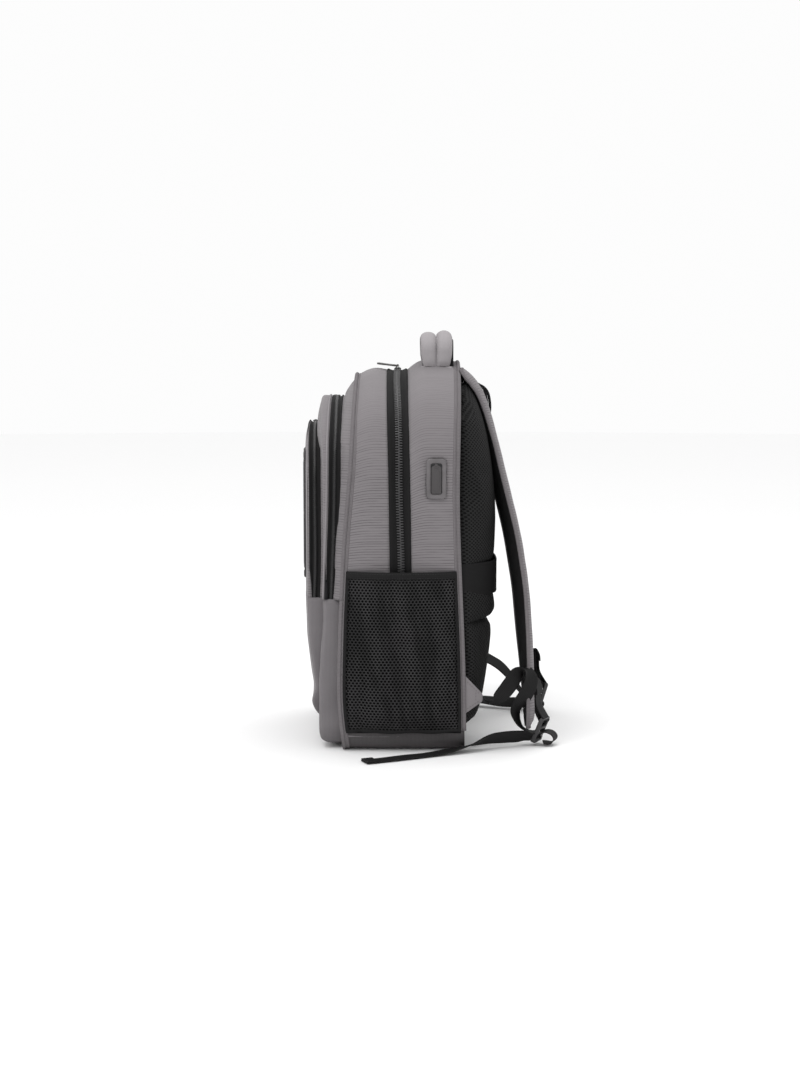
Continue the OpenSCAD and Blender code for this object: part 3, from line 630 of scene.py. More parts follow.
def plate(name, outlines, thick, bevel, material, place):
    """A moulded plate: the first outline is its edge and the others are holes. place is its matrix in
    millimetres, with the plate in the matrix's X-Y plane and its middle at Z = 0."""
    curve = bpy.data.curves.new(name, "CURVE")
    curve.dimensions = "2D"
    curve.fill_mode = "BOTH"
    curve.extrude = max(0.01, thick / 2 - bevel)
    curve.bevel_depth = bevel
    curve.bevel_resolution = 2
    curve.offset = -bevel
    for line in outlines:
        path = curve.splines.new("POLY")
        path.points.add(len(line) - 1)
        path.points.foreach_set("co", [c for x, y in line for c in (x, y, 0, 1)])
        path.use_cyclic_u = True
    source = bpy.data.objects.new(name + "_curve", curve)
    mesh = bpy.data.meshes.new_from_object(source)
    bpy.data.objects.remove(source)
    mesh.name = name
    mesh.transform(Matrix.Scale(MM, 4) @ Matrix(place))
    mesh.materials.clear()
    mesh.materials.append(MAT[material])
    with editing(mesh) as bm:
        bmesh.ops.remove_doubles(bm, verts=bm.verts, dist=0.02 * MM)
        bmesh.ops.recalc_face_normals(bm, faces=bm.faces)
    mesh.polygons.foreach_set("use_smooth", [True] * len(mesh.polygons))
    mesh.set_sharp_from_angle(angle=math.radians(35))
    return placed(name, mesh)


def frame_at(origin, across, up):
    """A matrix with its X axis along across and its Y axis along up."""
    a = Vector(across).normalized()
    n = a.cross(Vector(up)).normalized()
    b = n.cross(a)
    return Matrix.Translation(origin) @ Matrix((a, b, n)).transposed().to_4x4()


def round_rect(w, h, r, count=6):
    points = []
    for k, (cx, cy) in enumerate([(1, 1), (-1, 1), (-1, -1), (1, -1)]):
        for t in np.linspace(0, math.pi / 2, count):
            a = t + k * math.pi / 2
            points.append((cx * (w / 2 - r) + r * math.cos(a), cy * (h / 2 - r) + r * math.sin(a)))
    return points


def shifted(points, dx=0.0, dy=0.0):
    return [(x + dx, y + dy) for x, y in points]


def join(name, pieces):
    """One object from several."""
    bm = bmesh.new()
    slots = []
    for piece in pieces:
        start = len(bm.faces)
        bm.from_mesh(piece.data)
        material = piece.data.materials[0]
        if material not in slots:
            slots.append(material)
        bm.faces.ensure_lookup_table()
        for f in bm.faces[start:]:
            f.material_index = slots.index(material)
    mesh = bpy.data.meshes.new(name)
    bm.to_mesh(mesh)
    bm.free()
    for material in slots:
        mesh.materials.append(material)
    for piece in pieces:
        bpy.data.objects.remove(piece)
    return placed(name, mesh)


def mirrored(piece, name):
    """A copy of a piece on the bag's other side."""
    copy = placed(name, piece.data.copy())
    copy.data.transform(Matrix.Scale(-1, 4, (1, 0, 0)))
    copy.data.flip_normals()
    for modifier in piece.modifiers:
        twin = copy.modifiers.new(modifier.name, modifier.type)
        for key in ("thickness", "offset", "material_offset", "material_offset_rim", "levels", "render_levels",
                    "iterations"):
            if hasattr(modifier, key):
                setattr(twin, key, getattr(modifier, key))
    return copy


def lined(piece, thick=2.0):
    """Gives cloth its thickness, inwards, with a lining on the inner face."""
    piece.data.materials.append(MAT["lining"])
    wall = piece.modifiers.new("thickness", "SOLIDIFY")
    wall.thickness = thick * MM
    wall.offset = -1
    wall.material_offset = 1
    wall.material_offset_rim = 0
    return piece


def fit(piece, body, slot, *nodes):
    """Makes a piece ride on a body, and hides the CAD nodes that it stands for. slot, the name of its finish, is not
    used.
    """
    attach(piece, body)
    if nodes:
        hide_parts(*nodes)
    return piece


def bend(piece, bodies, start, end, slot, *nodes):
    """For cloth between two bodies, from one height to another: it only bakes the piece's place into its points and
    hides the CAD nodes that it stands for, so the piece rides on neither body and does not bend. bodies, start, end
    and slot are not used.
    """
    start * MM
    end * MM
    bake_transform(piece)
    if nodes:
        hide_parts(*nodes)
    return piece


def below_fold(piece, slot, *nodes):
    """Cloth that ends at the lids' fold. Through bend() it stays where it is and does not bend as the main lid opens.
    """
    return bend(piece, ("pack", "main_flap"), FOLD_START, FOLD_Z, slot, *nodes)


def on_lid(piece, body, slot, *nodes):
    """Fits a piece to one body, or, given two bodies, leaves it where it is through bend() without bending it from one
    to the next.
    """
    if isinstance(body, tuple):
        return bend(piece, body, FOLD_Z, FOLD_Z + LID_BLEND, slot, *nodes)
    return fit(piece, body, slot, *nodes)


def both(right, left_name, turn=None):
    """A right-hand piece and its mirror image on the left side, which may be turned."""
    left = mirrored(right, left_name)
    return {"right": right, "left": turn(left) if turn else left}


# ---------- main compartment ----------

ZIP_C = sum(ZIP_Y) / 2
PIPE_R = 2.5
NET_TUCK = 3.4  # how far the side walls draw in behind the nets
LID_DROP = 6  # how much lower the lid's front seam runs over the top than its zip
zip_drift = along([(180, 1.8), (219, 1.8), (330, 0.2), (420, -2), (470, -2.5)])
whole = Hoop(BODY_W, REAR_H, MOUTH_Z - 6)
rear_side = Hoop(BODY_W, FRONT_H, MOUTH_Z - 6, rises=whole.rises)


def tucked(piece):
    """Draws a piece in below the mouths of the mesh pockets, so that it stays behind the nets."""
    for v in piece.data.vertices:
        v.co.x -= math.copysign(NET_TUCK * MM * min(1, max(0, (MOUTH_Z - 2 - v.co.z / MM) / 5)), v.co.x)
    return piece


def crossing(name, near, far, ys, rise, swell, wrinkle, seed, count=15, flat=None):
    """Cloth from one outline to another. ys are the depths of its two edges as functions of height, and rise
    turns the distance from the near edge into the share of the far outline. Where flat(points) is 1 the cloth
    lies in the plane of the bag's side."""
    away = far.at(0) - far.at(1)
    P = []
    for t in np.linspace(0, 1, count):
        bow = 1 - (2 * t - 1) ** 2
        low, high = near.at(-swell * bow), far.at(-swell * bow)
        y = ys[0](high[:, 1]) * (1 - t) + ys[1](high[:, 1]) * t
        part = rise(np.abs(y - ys[0](high[:, 1])))[:, None]
        both = low * (1 - part) + high * part
        P.append(np.column_stack([both[:, 0], y, both[:, 1]]))
    P = np.array(P)
    push = wrinkle * np.sin(np.pi * np.linspace(0, 1, count))[:, None] * ripple(P, WRINKLE, seed)
    still = flat(P) if flat else 0 * push
    P[..., X] += push * (1 - still) * away[:, 0] - still * (np.abs(P[..., X]) - BODY_W / 2)
    P[..., Z] += push * (1 - still) * away[:, 1]
    return tucked(grid(name, P, P[..., Y], np.repeat(far.run[None], count, 0), "grey", middle=(0, 0, 250)))


PORT_FLAT = 20, 34  # how far, in depth and height, the cloth round the port's middle lies flat


def near_port(P):
    """1 at the charging port, falling to 0 round it."""
    away = ((P[..., Y] - PORT[1]) / PORT_FLAT[0]) ** 4 + ((P[..., Z] - PORT[2]) / PORT_FLAT[1]) ** 4
    return np.exp(-away) * (P[..., X] > 0)


def rear_gusset():
    """Side walls and padded top of the rear half, with a hole for the port. Its crown rises behind the zip."""
    piece = crossing("rear_gusset_cloth", rear_side, whole, (lambda z: ZIP_Y[1] + zip_drift(z), back_seam),
                     lambda d: np.sin(np.clip(d / 22, 0, 1) * math.pi / 2), 3.2, 0.9, 3, 17, near_port)

    def under_port(spot):
        return (spot.x > 0 and abs(spot.y / MM - PORT[1]) < PORT_W / 2 - 3
                and abs(spot.z / MM - PORT[2]) < PORT_H / 2 - 4)

    with editing(piece.data) as bm:
        bmesh.ops.delete(bm, geom=[f for f in bm.faces if under_port(f.calc_center_median())], context="FACES")
    return piece


fit(lined(rear_gusset(), 2.4), "pack", "grey_polyester", "rear_gusset")


def side_wall(name, front, back, z0, z1, x, material, seed):
    """A plain wall on both sides of the bag between two depths and two heights."""
    P = np.array([[(x, y, z) for y in np.linspace(front(z), back(z), 14)] for z in np.linspace(z0, z1, 30)])
    P[..., X] += 0.7 * ripple(P, 40, seed)
    right = grid(name, P, P[..., Y], P[..., Z], material, middle=(0, 0, 150))
    return join(name, [mirrored(right, name + "_twin"), right])


# Below the mouths of the mesh pockets the rear half goes on behind the nets
rear_low = side_wall("rear_side_wall", level(ZIP_C), back_seam, BOOT_Z - 8, MOUTH_Z - 4, BODY_W / 2 - 1.4, "grey", 4)
fit(lined(rear_low), "pack", "grey_polyester")

# Strip round the foot of the bag, in a darker copy of the grey cloth as painted shade where it curves under
boot = Cradle(BODY_W, BOOT_Z + 3, 0, 26, 3)
boot_rows = gusset_rows(lambda z: front_seam(z) + 0.2, lambda z: back_seam(z) + 3, 0.6, 13)
boot_cloth = band("foot_strip", boot, boot_rows, "boot", 1.6, 22, 7, middle=(0, 0, 60))
fit(lined(boot_cloth), "pack", "grey_polyester", "base_panel")

# Lower half of the front, below the lids' fold
low_front_side = side_wall("lower_side_wall", lambda z: front_seam(z) + 0.2, level(ZIP_C), BOOT_Z - 8, FOLD_Z,
                           BODY_W / 2 - 1, "grey", 5)
below_fold(lined(low_front_side), "grey_polyester", "lower_tub")
low_edge = Cradle(BODY_W, FOLD_Z)
low_front = face("lower_front_wall", low_edge, lambda x, z, d: front_seam(z) - 3 * (1 - math.exp(-d / 9)),
                 "grey", 1.0, (40, 24), 0.8, 6, middle=(0, 100, 90))
below_fold(lined(low_front), "grey_polyester")

# Main lid: gusset between the front seam and the zip, and the panel behind the pockets
lid = Hoop(BODY_W, FRONT_H, FOLD_Z)
lid_edge = Hoop(BODY_W, FRONT_H - LID_DROP, FOLD_Z, rises=lid.rises)
lid_gusset = crossing("main_lid_gusset", lid_edge, lid, (front_seam, lambda z: ZIP_Y[0] + zip_drift(z)),
                      lambda d: np.sin(np.clip(d / 26, 0, 1) * math.pi / 2), 2.4, 1.0, 8)
fit(lined(lid_gusset, 2.4), "main_flap", "grey_polyester", "main_front_panel")
# Forward swell of the lid by the distance from its seam: full outside the middle pocket, shallow behind it
lid_swell = along([(0, 0), (5, 5), (12, 11), (24, 17), (36, 12), (58, 4), (400, 4)])
lid_panel = face("main_lid_panel", lid_edge, lambda x, z, d: front_seam(z) - float(lid_swell(d)),
                 "grey", 0.6, (60, 70), 0.8, 9, middle=(0, 100, 300))
fit(lined(lid_panel), "main_flap", "grey_polyester")


def seam_cord(name, outline, seam, off):
    """A seam cord along an outline, off to one side of its seam, and the narrow stitched strip beside it."""
    line = outline.at(0)
    path = np.column_stack([line[:, 0], seam(line[:, 1]) + off, line[:, 1]])
    cord = tube(name + "_cord", path, PIPE_R, "binding", 10)
    rise = line - outline.at(1)
    rows, U = [], []
    for across, up in ((-0.6, 0.6), (0.9, 1.1), (2.2, 1.15), (3.3, 0.9), (4.0, -0.1)):
        turn = -math.copysign(1, off) * across
        rows.append(path - np.array([0, off, 0]) + [0, turn, 0]
                    + up * np.column_stack([rise[:, 0], 0 * rise[:, 0], rise[:, 1]]))
        U.append(np.full(len(path), across))
    V = np.repeat(outline.run[None], len(rows), 0)
    strip = grid(name + "_strip", rows, np.array(U), V, "binding", middle=(0, 0, 250))
    return join(name, [cord, strip])


whole_edge = Hoop(BODY_W, REAR_H, BOOT_Z)
CORD_OFF = PIPE_R + 0.1  # a cord's middle from its seam
fit(seam_cord("back_seam_cord", whole_edge, back_seam, CORD_OFF), "pack", "grey_binding", "back_piping")
fit(seam_cord("front_seam_cord", lid_edge, front_seam, -CORD_OFF), "main_flap", "grey_binding", "front_piping_upper")
low_cord = seam_cord("lower_seam_cord", low_edge, lambda z: front_seam(np.maximum(z, 8)), -CORD_OFF)
below_fold(low_cord, "grey_binding", "front_piping_lower")

# Materials of the plain pieces inside the bag, whose CAD shapes stay
for node, material in {"frame_sheet": "stiffener", "base_board": "stiffener", "laptop_divider": "lining",
                       "power_bank": "battery", "power_bank_sleeve": "lining_solid", "charging_lead": "jacket",
                       "port_socket": "steel", "junction_box": "battery"}.items():
    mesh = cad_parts[node].data
    mesh.materials.clear()
    mesh.materials.append(MAT[material])

# ---------- zips ----------


def zip_tape(name, outline, middle, edge, width, seed, drift, squeeze=level(0)):
    """One side of a zip's tape, with a folded ridge where the cloth is sewn to it. drift(z) moves the zip, and
    squeeze(z) moves its outer edge."""
    way = math.copysign(1, edge - middle)
    rows = [(0.9, middle + way * 0.3), (0.7, middle + way * width * 0.25), (0.9, middle + way * width * 0.45),
            (0.3, middle + way * width * 0.62), (-0.9, middle + way * width * 0.78),
            (-0.9, middle + way * width * 0.9), (0.4, edge + way * 0.4), (1.6, edge + way * 0.3)]
    rows = [(inset, lambda z, y=y, t=(y - middle) / (edge - middle): y + drift(z) + t * squeeze(z))
            for inset, y in rows]
    return band(name, outline, rows, "tape", 0.5, 14, seed)


def block(start, count, open_sides=0):
    """Faces of a small block made of four rings of count points; its last side may stay open."""
    rings = [start + ring * count for ring in range(4)]
    faces = [(low + k, low + (k + 1) % count, high + (k + 1) % count, high + k)
             for low, high in zip(rings, rings[1:]) for k in range(count - open_sides)]
    return faces + [tuple(range(start, rings[1]))[::-1], tuple(range(rings[3], rings[3] + count))]


def teeth(name, outline, middle, side, long, pitch, high, lift, bow, drift, material="coil"):
    """A row of zip teeth along an outline, reaching across its middle line from one side."""
    line = outline.at(-lift)
    run = length_along(line)
    count = int(run[-1] / pitch)
    places = (np.arange(count) + (0.5 if side > 0 else 0.0) + 0.25) * run[-1] / count
    points, faces = [], []
    section = [(-0.5, -0.5), (0.5, -0.5), (0.5, 0.15), (0.28, 0.5), (-0.28, 0.5), (-0.5, 0.15)]
    for s in places[places < run[-1]]:
        x, z = np.interp(s, run, line[:, 0]), np.interp(s, run, line[:, 1])
        x2, z2 = np.interp(s + 0.5, run, line[:, 0]), np.interp(s + 0.5, run, line[:, 1])
        t = np.array([x2 - x, z2 - z]) / max(1e-6, math.hypot(x2 - x, z2 - z))
        n = np.array([t[1], -t[0]])
        sway = bow * math.sin(s / 27.0) + float(drift(z))
        faces += block(len(points), len(section))
        for reach, size in ((-0.9, 0.75), (-0.4, 1.0), (long * 0.6, 1.0), (long, 0.6)):
            for a, b in section:
                p = np.array([x, z]) + t * a * pitch * 0.62 * size + n * (b * high * size)
                points.append((p[0], middle + sway + side * reach, p[1]))
    return tidied(put(name, points, faces, material, smooth=False))


main_line = Hoop(BODY_W, FRONT_H, FOLD_Z, 4)
for label, side, body in (("rear", 1, "pack"), ("front", -1, "main_flap")):
    tape = zip_tape("main_zip_tape_" + label, main_line, ZIP_C, ZIP_Y[side > 0], 13, 12 - side, zip_drift)
    fit(tucked(tape), body, "zip_black", "main_zip_" + label)
    row = teeth("main_zip_teeth_" + label, main_line, ZIP_C, side, 4.2, 3.2, 2.6, 0.7, 0.6, zip_drift)
    fit(tucked(row), body, "zip_black")


def pocket_zip(name, width, top, ys, rear_body, front_body, drift, squeezes):
    """Both sides of a pocket's zip. Each side rides on the body behind it, or, where that is two bodies near the fold,
    stays where it is.
    """
    outline = Hoop(width, top, FOLD_Z, 4)
    middle = sum(ys) / 2
    for side, edge, label in ((1, ys[1], "rear"), (-1, ys[0], "front")):
        tape = zip_tape(name + "_tape_" + label, outline, middle, edge, 7, 13 + side, drift, squeezes[side > 0])
        row = teeth(name + "_teeth_" + label, outline, middle, side, 2.1, 2.4, 1.8, 0.2, 0.3, drift, "small_coil")
        body = rear_body if side > 0 else front_body
        on_lid(tape, body, "zip_black", name + "_" + label)
        on_lid(row, body, "zip_black")


MIDDLE_LID = ("main_flap", "middle_flap")
FRONT_LID = ("middle_flap", "front_flap")
middle_drift = along([(180, -2), (219, -0.5), (280, 2), (330, 3), (430, 3.4)])
front_drift = along([(180, 2.6), (230, 4), (330, 4), (360, 3), (400, 0)])
middle_squeeze = along([(180, -5), (200, -3.4), (225, -1.4), (255, 0), (430, 0)])  # of the tape's rear edge
front_squeeze = along([(180, 4.6), (196, 3.2), (215, 1), (235, 0), (430, 0)])  # of the tape's front edge
pocket_zip("middle_zip", MIDDLE_W, MIDDLE_H, MIDDLE_ZIP_Y, "main_flap", MIDDLE_LID, middle_drift,
           (level(0), middle_squeeze))
pocket_zip("front_zip", POCKET_W, POCKET_H, FRONT_ZIP_Y, MIDDLE_LID, FRONT_LID, front_drift,
           (front_squeeze, level(0)))

# ---------- front pockets ----------

middle_up = Hoop(MIDDLE_W, MIDDLE_H, FOLD_Z)
front_up = Hoop(POCKET_W, POCKET_H, FOLD_Z)
middle_low = Cradle(MIDDLE_W, FOLD_Z, 3)
front_low = Cradle(POCKET_W, FOLD_Z, 36)


def pulled_back(top, most):
    """How far a pocket's front edge lies back: nothing at the top of its arch, and most down its sides."""
    share = [(FOLD_Z - 20, 1), (top - 84, 1), (top - 60, 0.88), (top - 40, 0.55), (top - 15, 0.12), (top, 0),
             (top + 40, 0)]
    return along([(z, most * part) for z, part in share])


MIDDLE_BACK, FRONT_BACK = 6, 2.5
FRONT_BOW = 6.5  # the front pocket's face is bowed from side to side by this
middle_back = pulled_back(MIDDLE_H, MIDDLE_BACK)
front_back = pulled_back(POCKET_H, FRONT_BACK)


def front_bow(x):
    """How far the front pocket's face has fallen back at a distance from its middle."""
    return FRONT_BOW * (2 * x / POCKET_W) ** 2


WALL_SWELL = 0.8  # how far a pocket's side wall stands proud of its outline


def rolled(back, front, radius, count):
    """Rows of a pocket's side wall that turns over a round edge on to the pocket's front."""
    rows = [(-WALL_SWELL * math.sin(math.pi * t * 0.5),
             lambda z, t=t: back(z) * (1 - t) + (front(z) + radius) * t) for t in np.linspace(0, 1, count)]
    for a in np.linspace(0.2, 1, 6) * math.pi / 2:
        rows.append((radius * (1 - math.cos(a)) - WALL_SWELL, lambda z, a=a: front(z) + radius * (1 - math.sin(a))))
    return rows


def middle_depth(x, z, d):
    side = min(1, max(0, (2 * abs(x) / MIDDLE_W - 0.5) / 0.3)) * float(middle_back(z)) / MIDDLE_BACK
    return (MIDDLE_FACE_Y + float(middle_back(z)) * math.exp(-((d / 40) ** 2))
            - float(mid_swell(d)) * (1 - 0.85 * side))


def front_depth(x, z, d):
    bow = front_bow(x)
    return FACE_Y + bow + (4 + float(front_back(z)) - bow) * math.exp(-d / 7)


EDGE_R = 4  # round edge of the middle pocket
MIDDLE_ROOT, FOOT_ROOT = -56, -60  # depth at which the middle pocket's wall ends, above and below the fold
mid_rear = band("middle_pocket_rear_wall", middle_up,
                gusset_rows(lambda z: MIDDLE_ZIP_Y[1] + middle_drift(z) + middle_squeeze(z), level(MIDDLE_ROOT),
                            1.2, 8),
                "grey", 0.5, 24, 15)
fit(lined(mid_rear), "main_flap", "grey_polyester", "middle_pocket_rear")
mid_front = band("middle_pocket_front_wall", middle_up,
                 rolled(lambda z: MIDDLE_ZIP_Y[0] + middle_drift(z), lambda z: MIDDLE_FACE_Y + middle_back(z),
                        EDGE_R, 6), "grey", 0.4, 24, 16)
on_lid(lined(mid_front), MIDDLE_LID, "grey_polyester", "middle_pocket_front")
mid_swell = along([(0, 0), (6, 2), (16, 5), (26, 6.5), (38, 5.5), (54, 0.6), (400, 0.6)])
mid_face = face("middle_pocket_face", middle_up, middle_depth, "grey", EDGE_R - 1, (50, 60), 0.5, 17,
                middle=(0, 100, 300))
on_lid(lined(mid_face), MIDDLE_LID, "grey_polyester")

front_side = band("front_pocket_rear_wall", front_up,
                  gusset_rows(lambda z: FRONT_ZIP_Y[1] + front_drift(z),
                              lambda z: MIDDLE_FACE_Y + 2 + middle_back(z), 0.8, 6), "grey", 0.3, 20, 18)
on_lid(lined(front_side), MIDDLE_LID, "grey_polyester")
front_wall = band("front_pocket_front_wall", front_up,
                  rolled(lambda z: FRONT_ZIP_Y[0] + (front_drift(z) + front_squeeze(z)),
                         lambda z: FACE_Y + 4 + front_back(z), 2.5, 6), "grey", 0.3, 20, 19)
on_lid(lined(front_wall), FRONT_LID, "grey_polyester", "front_face")
front_cloth = face("front_pocket_face", front_up, front_depth, "grey", 2, (50, 50), 0.2, 20, middle=(0, 100, 300))
on_lid(lined(front_cloth), FRONT_LID, "grey_polyester")

line = middle_up.at(-0.4)
binding_path = np.column_stack([line[:, 0], MIDDLE_ZIP_Y[0] + middle_drift(line[:, 1]) - 2.4, line[:, 1]])
on_lid(tube("middle_pocket_binding", binding_path, 1.5, "pale_binding", 8), MIDDLE_LID, "grey_binding")

# Lower parts of the two front pockets, which taper towards the foot
MIDDLE_FOOT = along([(-10, -84), (3, -88), (12, -96), (30, -97.6), (60, -97.5), (85, -97), (110, -95.5),
                     (133, -93.5), (160, -91.8), (176, -91.8), (190, MIDDLE_FACE_Y + MIDDLE_BACK)])
MIDDLE_CENTRE = along([(-10, -84), (3, -88), (12, -97), (30, -98.6), (60, -98), (190, MIDDLE_FACE_Y)])
FRONT_FOOT = along([(30, -98.5), (40, -102), (50, -106), (58, -107), (66, -104), (75, -102), (91, -104.5),
                    (131, -109.5), (172, -111.5), (190, FACE_Y + 4 + FRONT_BACK)])
FRONT_MIDDLE = along([(30, -99), (53, -102.5), (70, -109), (90, -112.5), (113, -115), (139, -117),
                      (190, FACE_Y + 0.6)])


def lower_pocket(name, outline, back, front, centre, radius, seed, wrinkle):
    """Side wall and front of a pocket below the fold, as one shell with a round edge. front is its depth at
    the sides and centre the one in the middle."""
    wall = band(name + "_side", outline, rolled(back, front, radius, 7), "plain", wrinkle, 22, seed,
                middle=(0, -60, 110))

    def depth(x, z, d):
        edge = (x / outline.half) ** 2
        return float(front(z)) * edge + float(centre(z)) * (1 - edge) - 0.6 * (1 - math.exp(-d / 10))

    sheet = face(name + "_front", outline, depth, "grey", radius - 1, (40, 28), wrinkle, seed + 1,
                 middle=(0, 100, 100))
    return join(name, [wall, sheet])


mid_foot = lower_pocket("middle_pocket_foot", middle_low, level(FOOT_ROOT), MIDDLE_FOOT, MIDDLE_CENTRE, 4, 21, 1.6)
below_fold(lined(mid_foot), "grey_polyester", "middle_pocket_lower")
front_foot = lower_pocket("front_pocket_foot", front_low, lambda z: MIDDLE_FOOT(z) + 3, FRONT_FOOT, FRONT_MIDDLE,
                          3, 23, 0.9)
below_fold(lined(front_foot), "grey_polyester", "front_pocket_lower")

# ---------- mesh pockets at the sides ----------

MESH_X = span("mesh_pocket_right", X)[0]  # plane of the pocket's sewn edges
MESH_DEEP = size_of("mesh_pocket_right", X)
MESH_Y = span("mesh_pocket_right", Y)
NET_WIDE, NET_TALL = 4.1, 3.3  # pitch of the net's holes, across and up
NET_WIRE = 1.05  # width of the yarn between two holes
BAND_H = 9


def pocket_y(y, z):
    """Depth on the bag's side: the pocket's two sewn edges follow the seams."""
    t = (y - MESH_Y[0]) / (MESH_Y[1] - MESH_Y[0])
    return (front_seam(z) + 2.0) * (1 - t) + (back_seam(z) - 1.5) * t


def pocket_bow(y, z):
    """How far the net stands off the bag's side at a depth and a height."""
    t = np.clip((y - MESH_Y[0]) / (MESH_Y[1] - MESH_Y[0]), 0, 1)
    foot = np.clip((z - MESH_Z) / 26, 0, 1)
    return 1 + (MESH_DEEP - 2.4) * np.sin(np.pi * t) ** 0.7 * np.sin(foot * np.pi / 2) ** 0.8


def net_place(y, z):
    """How far out the net lies, with its slack folds."""
    slack = 2.3 * np.sin(z / 23 + 0.05 * y) * np.exp(-(((y - 6) / 26) ** 2))
    pull = 3.8 * np.exp(-(((y - 4 + 0.12 * (z - 120)) / 6) ** 2)) * np.clip((z - 60) / 90, 0, 1)
    pull = pull + 3.2 * np.exp(-(((y + 42 - 0.1 * (z - 60)) / 5) ** 2)) * np.clip((130 - z) / 60, 0, 1)
    edge = (np.clip((y - MESH_Y[0]) / 12, 0, 1) * np.clip((MESH_Y[1] - y) / 12, 0, 1)
            * np.clip((MOUTH_Z - z) / 14, 0, 1))
    return MESH_X + pocket_bow(y, z) + edge * (slack - pull)


# Corners of a hole: the angle's sixth, and the corner's place on the lattice of shared corners
HOLE_CORNERS = list(enumerate([(1, 1), (0, 2), (-1, 1), (-1, -1), (0, -2), (1, -1)]))


def hex_net(name):
    """Open hexagonal net: every hole is a real hole."""
    holes = {}
    points, faces = [], []
    columns = int((MESH_Y[1] - MESH_Y[0] - 3) / NET_WIDE)
    rows = int((MOUTH_Z - MESH_Z - 4) / NET_TALL)

    def corner(key, y, z):
        if key not in holes:
            holes[key] = len(points)
            points.append((y, z))
        return holes[key]

    for row in range(rows):
        for column in range(columns - row % 2):
            cy = MESH_Y[0] + 3.2 + NET_WIDE * (column + 0.5 * (row % 2) + 0.5)
            cz = MESH_Z + 3 + NET_TALL * (row + 0.5)
            warp = 0.5 * math.sin(cz / 9 + 0.6 * math.sin(cy / 11))
            cy += warp * 0.8
            outer, inner = [], []
            for k, (right, up) in HOLE_CORNERS:
                a = math.pi / 6 + k * math.pi / 3
                y = NET_WIDE / math.sqrt(3) * math.cos(a)
                z = NET_TALL / 1.5 * math.sin(a)
                outer.append(corner((2 * column + row % 2 + right, 3 * row + up), cy + y, cz + z))
                size = 1 - NET_WIRE / NET_TALL
                inner.append(len(points))
                points.append((cy + y * size, cz + z * size))
            for k in range(6):
                q = (k + 1) % 6
                faces.append((outer[k], outer[q], inner[q], inner[k]))
    flat = np.array(points)
    P = np.column_stack([net_place(flat[:, 0], flat[:, 1]), pocket_y(flat[:, 0], flat[:, 1]), flat[:, 1]])
    uv = [tuple(flat[i] * MM) for f in faces for i in f]
    piece = outward(put(name, P, faces, "net", uv), (0, 0, 120))
    yarn = piece.modifiers.new("yarn", "SOLIDIFY")
    yarn.thickness = 0.5 * MM
    yarn.offset = 0
    return piece


def pocket_edge(name):
    """Elastic band at the mouth and the sewn edges of a mesh pocket."""
    ys = np.linspace(*MESH_Y, 140)
    rim = []
    for down, off in ((BAND_H, 0.2), (BAND_H, 0.9), (BAND_H * 0.6, 1.3), (1.2, 1.0), (0, 0.5), (1.0, -0.5),
                      (BAND_H, -0.4)):
        z = MOUTH_Z - down
        gather = np.sin(ys / 1.1 + 0.6 * np.sin(ys / 5)) * (0.5 + 0.5 * np.sin(ys / 13))
        gather *= 0.3 + 0.7 * (down > 2)
        rim.append(np.column_stack([net_place(ys, z + 0 * ys) + off + gather * 0.35, pocket_y(ys, z + 0 * ys),
                                    z + 0.3 * gather]))
    rim = np.array(rim)
    U = np.repeat(length_along(rim[2])[None], len(rim), 0)
    elastic = grid(name + "_elastic", rim, np.repeat(rim[:, :1, Z], len(ys), 1), U, "webbing", middle=(0, 0, 120))
    zs = np.linspace(MESH_Z + 1, MOUTH_Z - 1, 50)
    edges = [elastic]
    for y, way in ((MESH_Y[0], 1), (MESH_Y[1], -1)):
        seam = pocket_y(y, zs)
        binding = np.array([np.column_stack([np.full(50, MESH_X + up), seam + way * across, zs])
                            for across, up in ((-0.6, 0.0), (-0.4, 1.5), (1.5, 2.3), (3.4, 2.6), (3.9, 1.2))])
        edges.append(grid(name + "_binding", binding, binding[..., Y], binding[..., Z], "webbing", middle=(0, 0, 120)))
    foot = np.array([[(net_place(y, MESH_Z + 3.5) + off, pocket_y(y, MESH_Z), MESH_Z + up + 0.7 * math.sin(y / 8))
                      for y in ys] for off, up in ((-0.2, -0.4), (0.8, 0.2), (1.0, 2.4), (0.2, 4.2))])
    edges.append(grid(name + "_foot", foot, foot[..., Z], foot[..., Y], "webbing", middle=(0, 0, 120)))
    return join(name, edges)


def pocket_back(name):
    """Black cloth behind the net."""
    P = np.array([[(BODY_W / 2 + 0.9 + 0.25 * math.sin(y / 9 + z / 17), float(pocket_y(y, z)), z)
                   for y in np.linspace(*MESH_Y, 24)] for z in np.linspace(MESH_Z - 1, MOUTH_Z - 2, 30)])
    return grid(name, P, P[..., Y], P[..., Z], "dark", middle=(0, 0, 120))


NET_FOOT = 20  # height over which the net leans out from its lower edge
net = hex_net("side_net_right")
rim = pocket_edge("side_net_edge_right")
back = pocket_back("side_pocket_back_right")
nets, rims, backs = both(net, "side_net_left"), both(rim, "side_net_edge_left"), both(back, "side_pocket_back_left")
for side in nets:
    bodies = ("pack", "mesh_pocket_" + side)
    bend(nets[side], bodies, MESH_Z, MESH_Z + NET_FOOT, "black_stretch_mesh", "mesh_pocket_" + side)
    bend(rims[side], bodies, MESH_Z, MESH_Z + NET_FOOT, "black_stretch_mesh")
    fit(backs[side], "pack", "lining")

# ---------- back ----------

back_shape = Hoop(BODY_W, REAR_H, BOOT_Z)


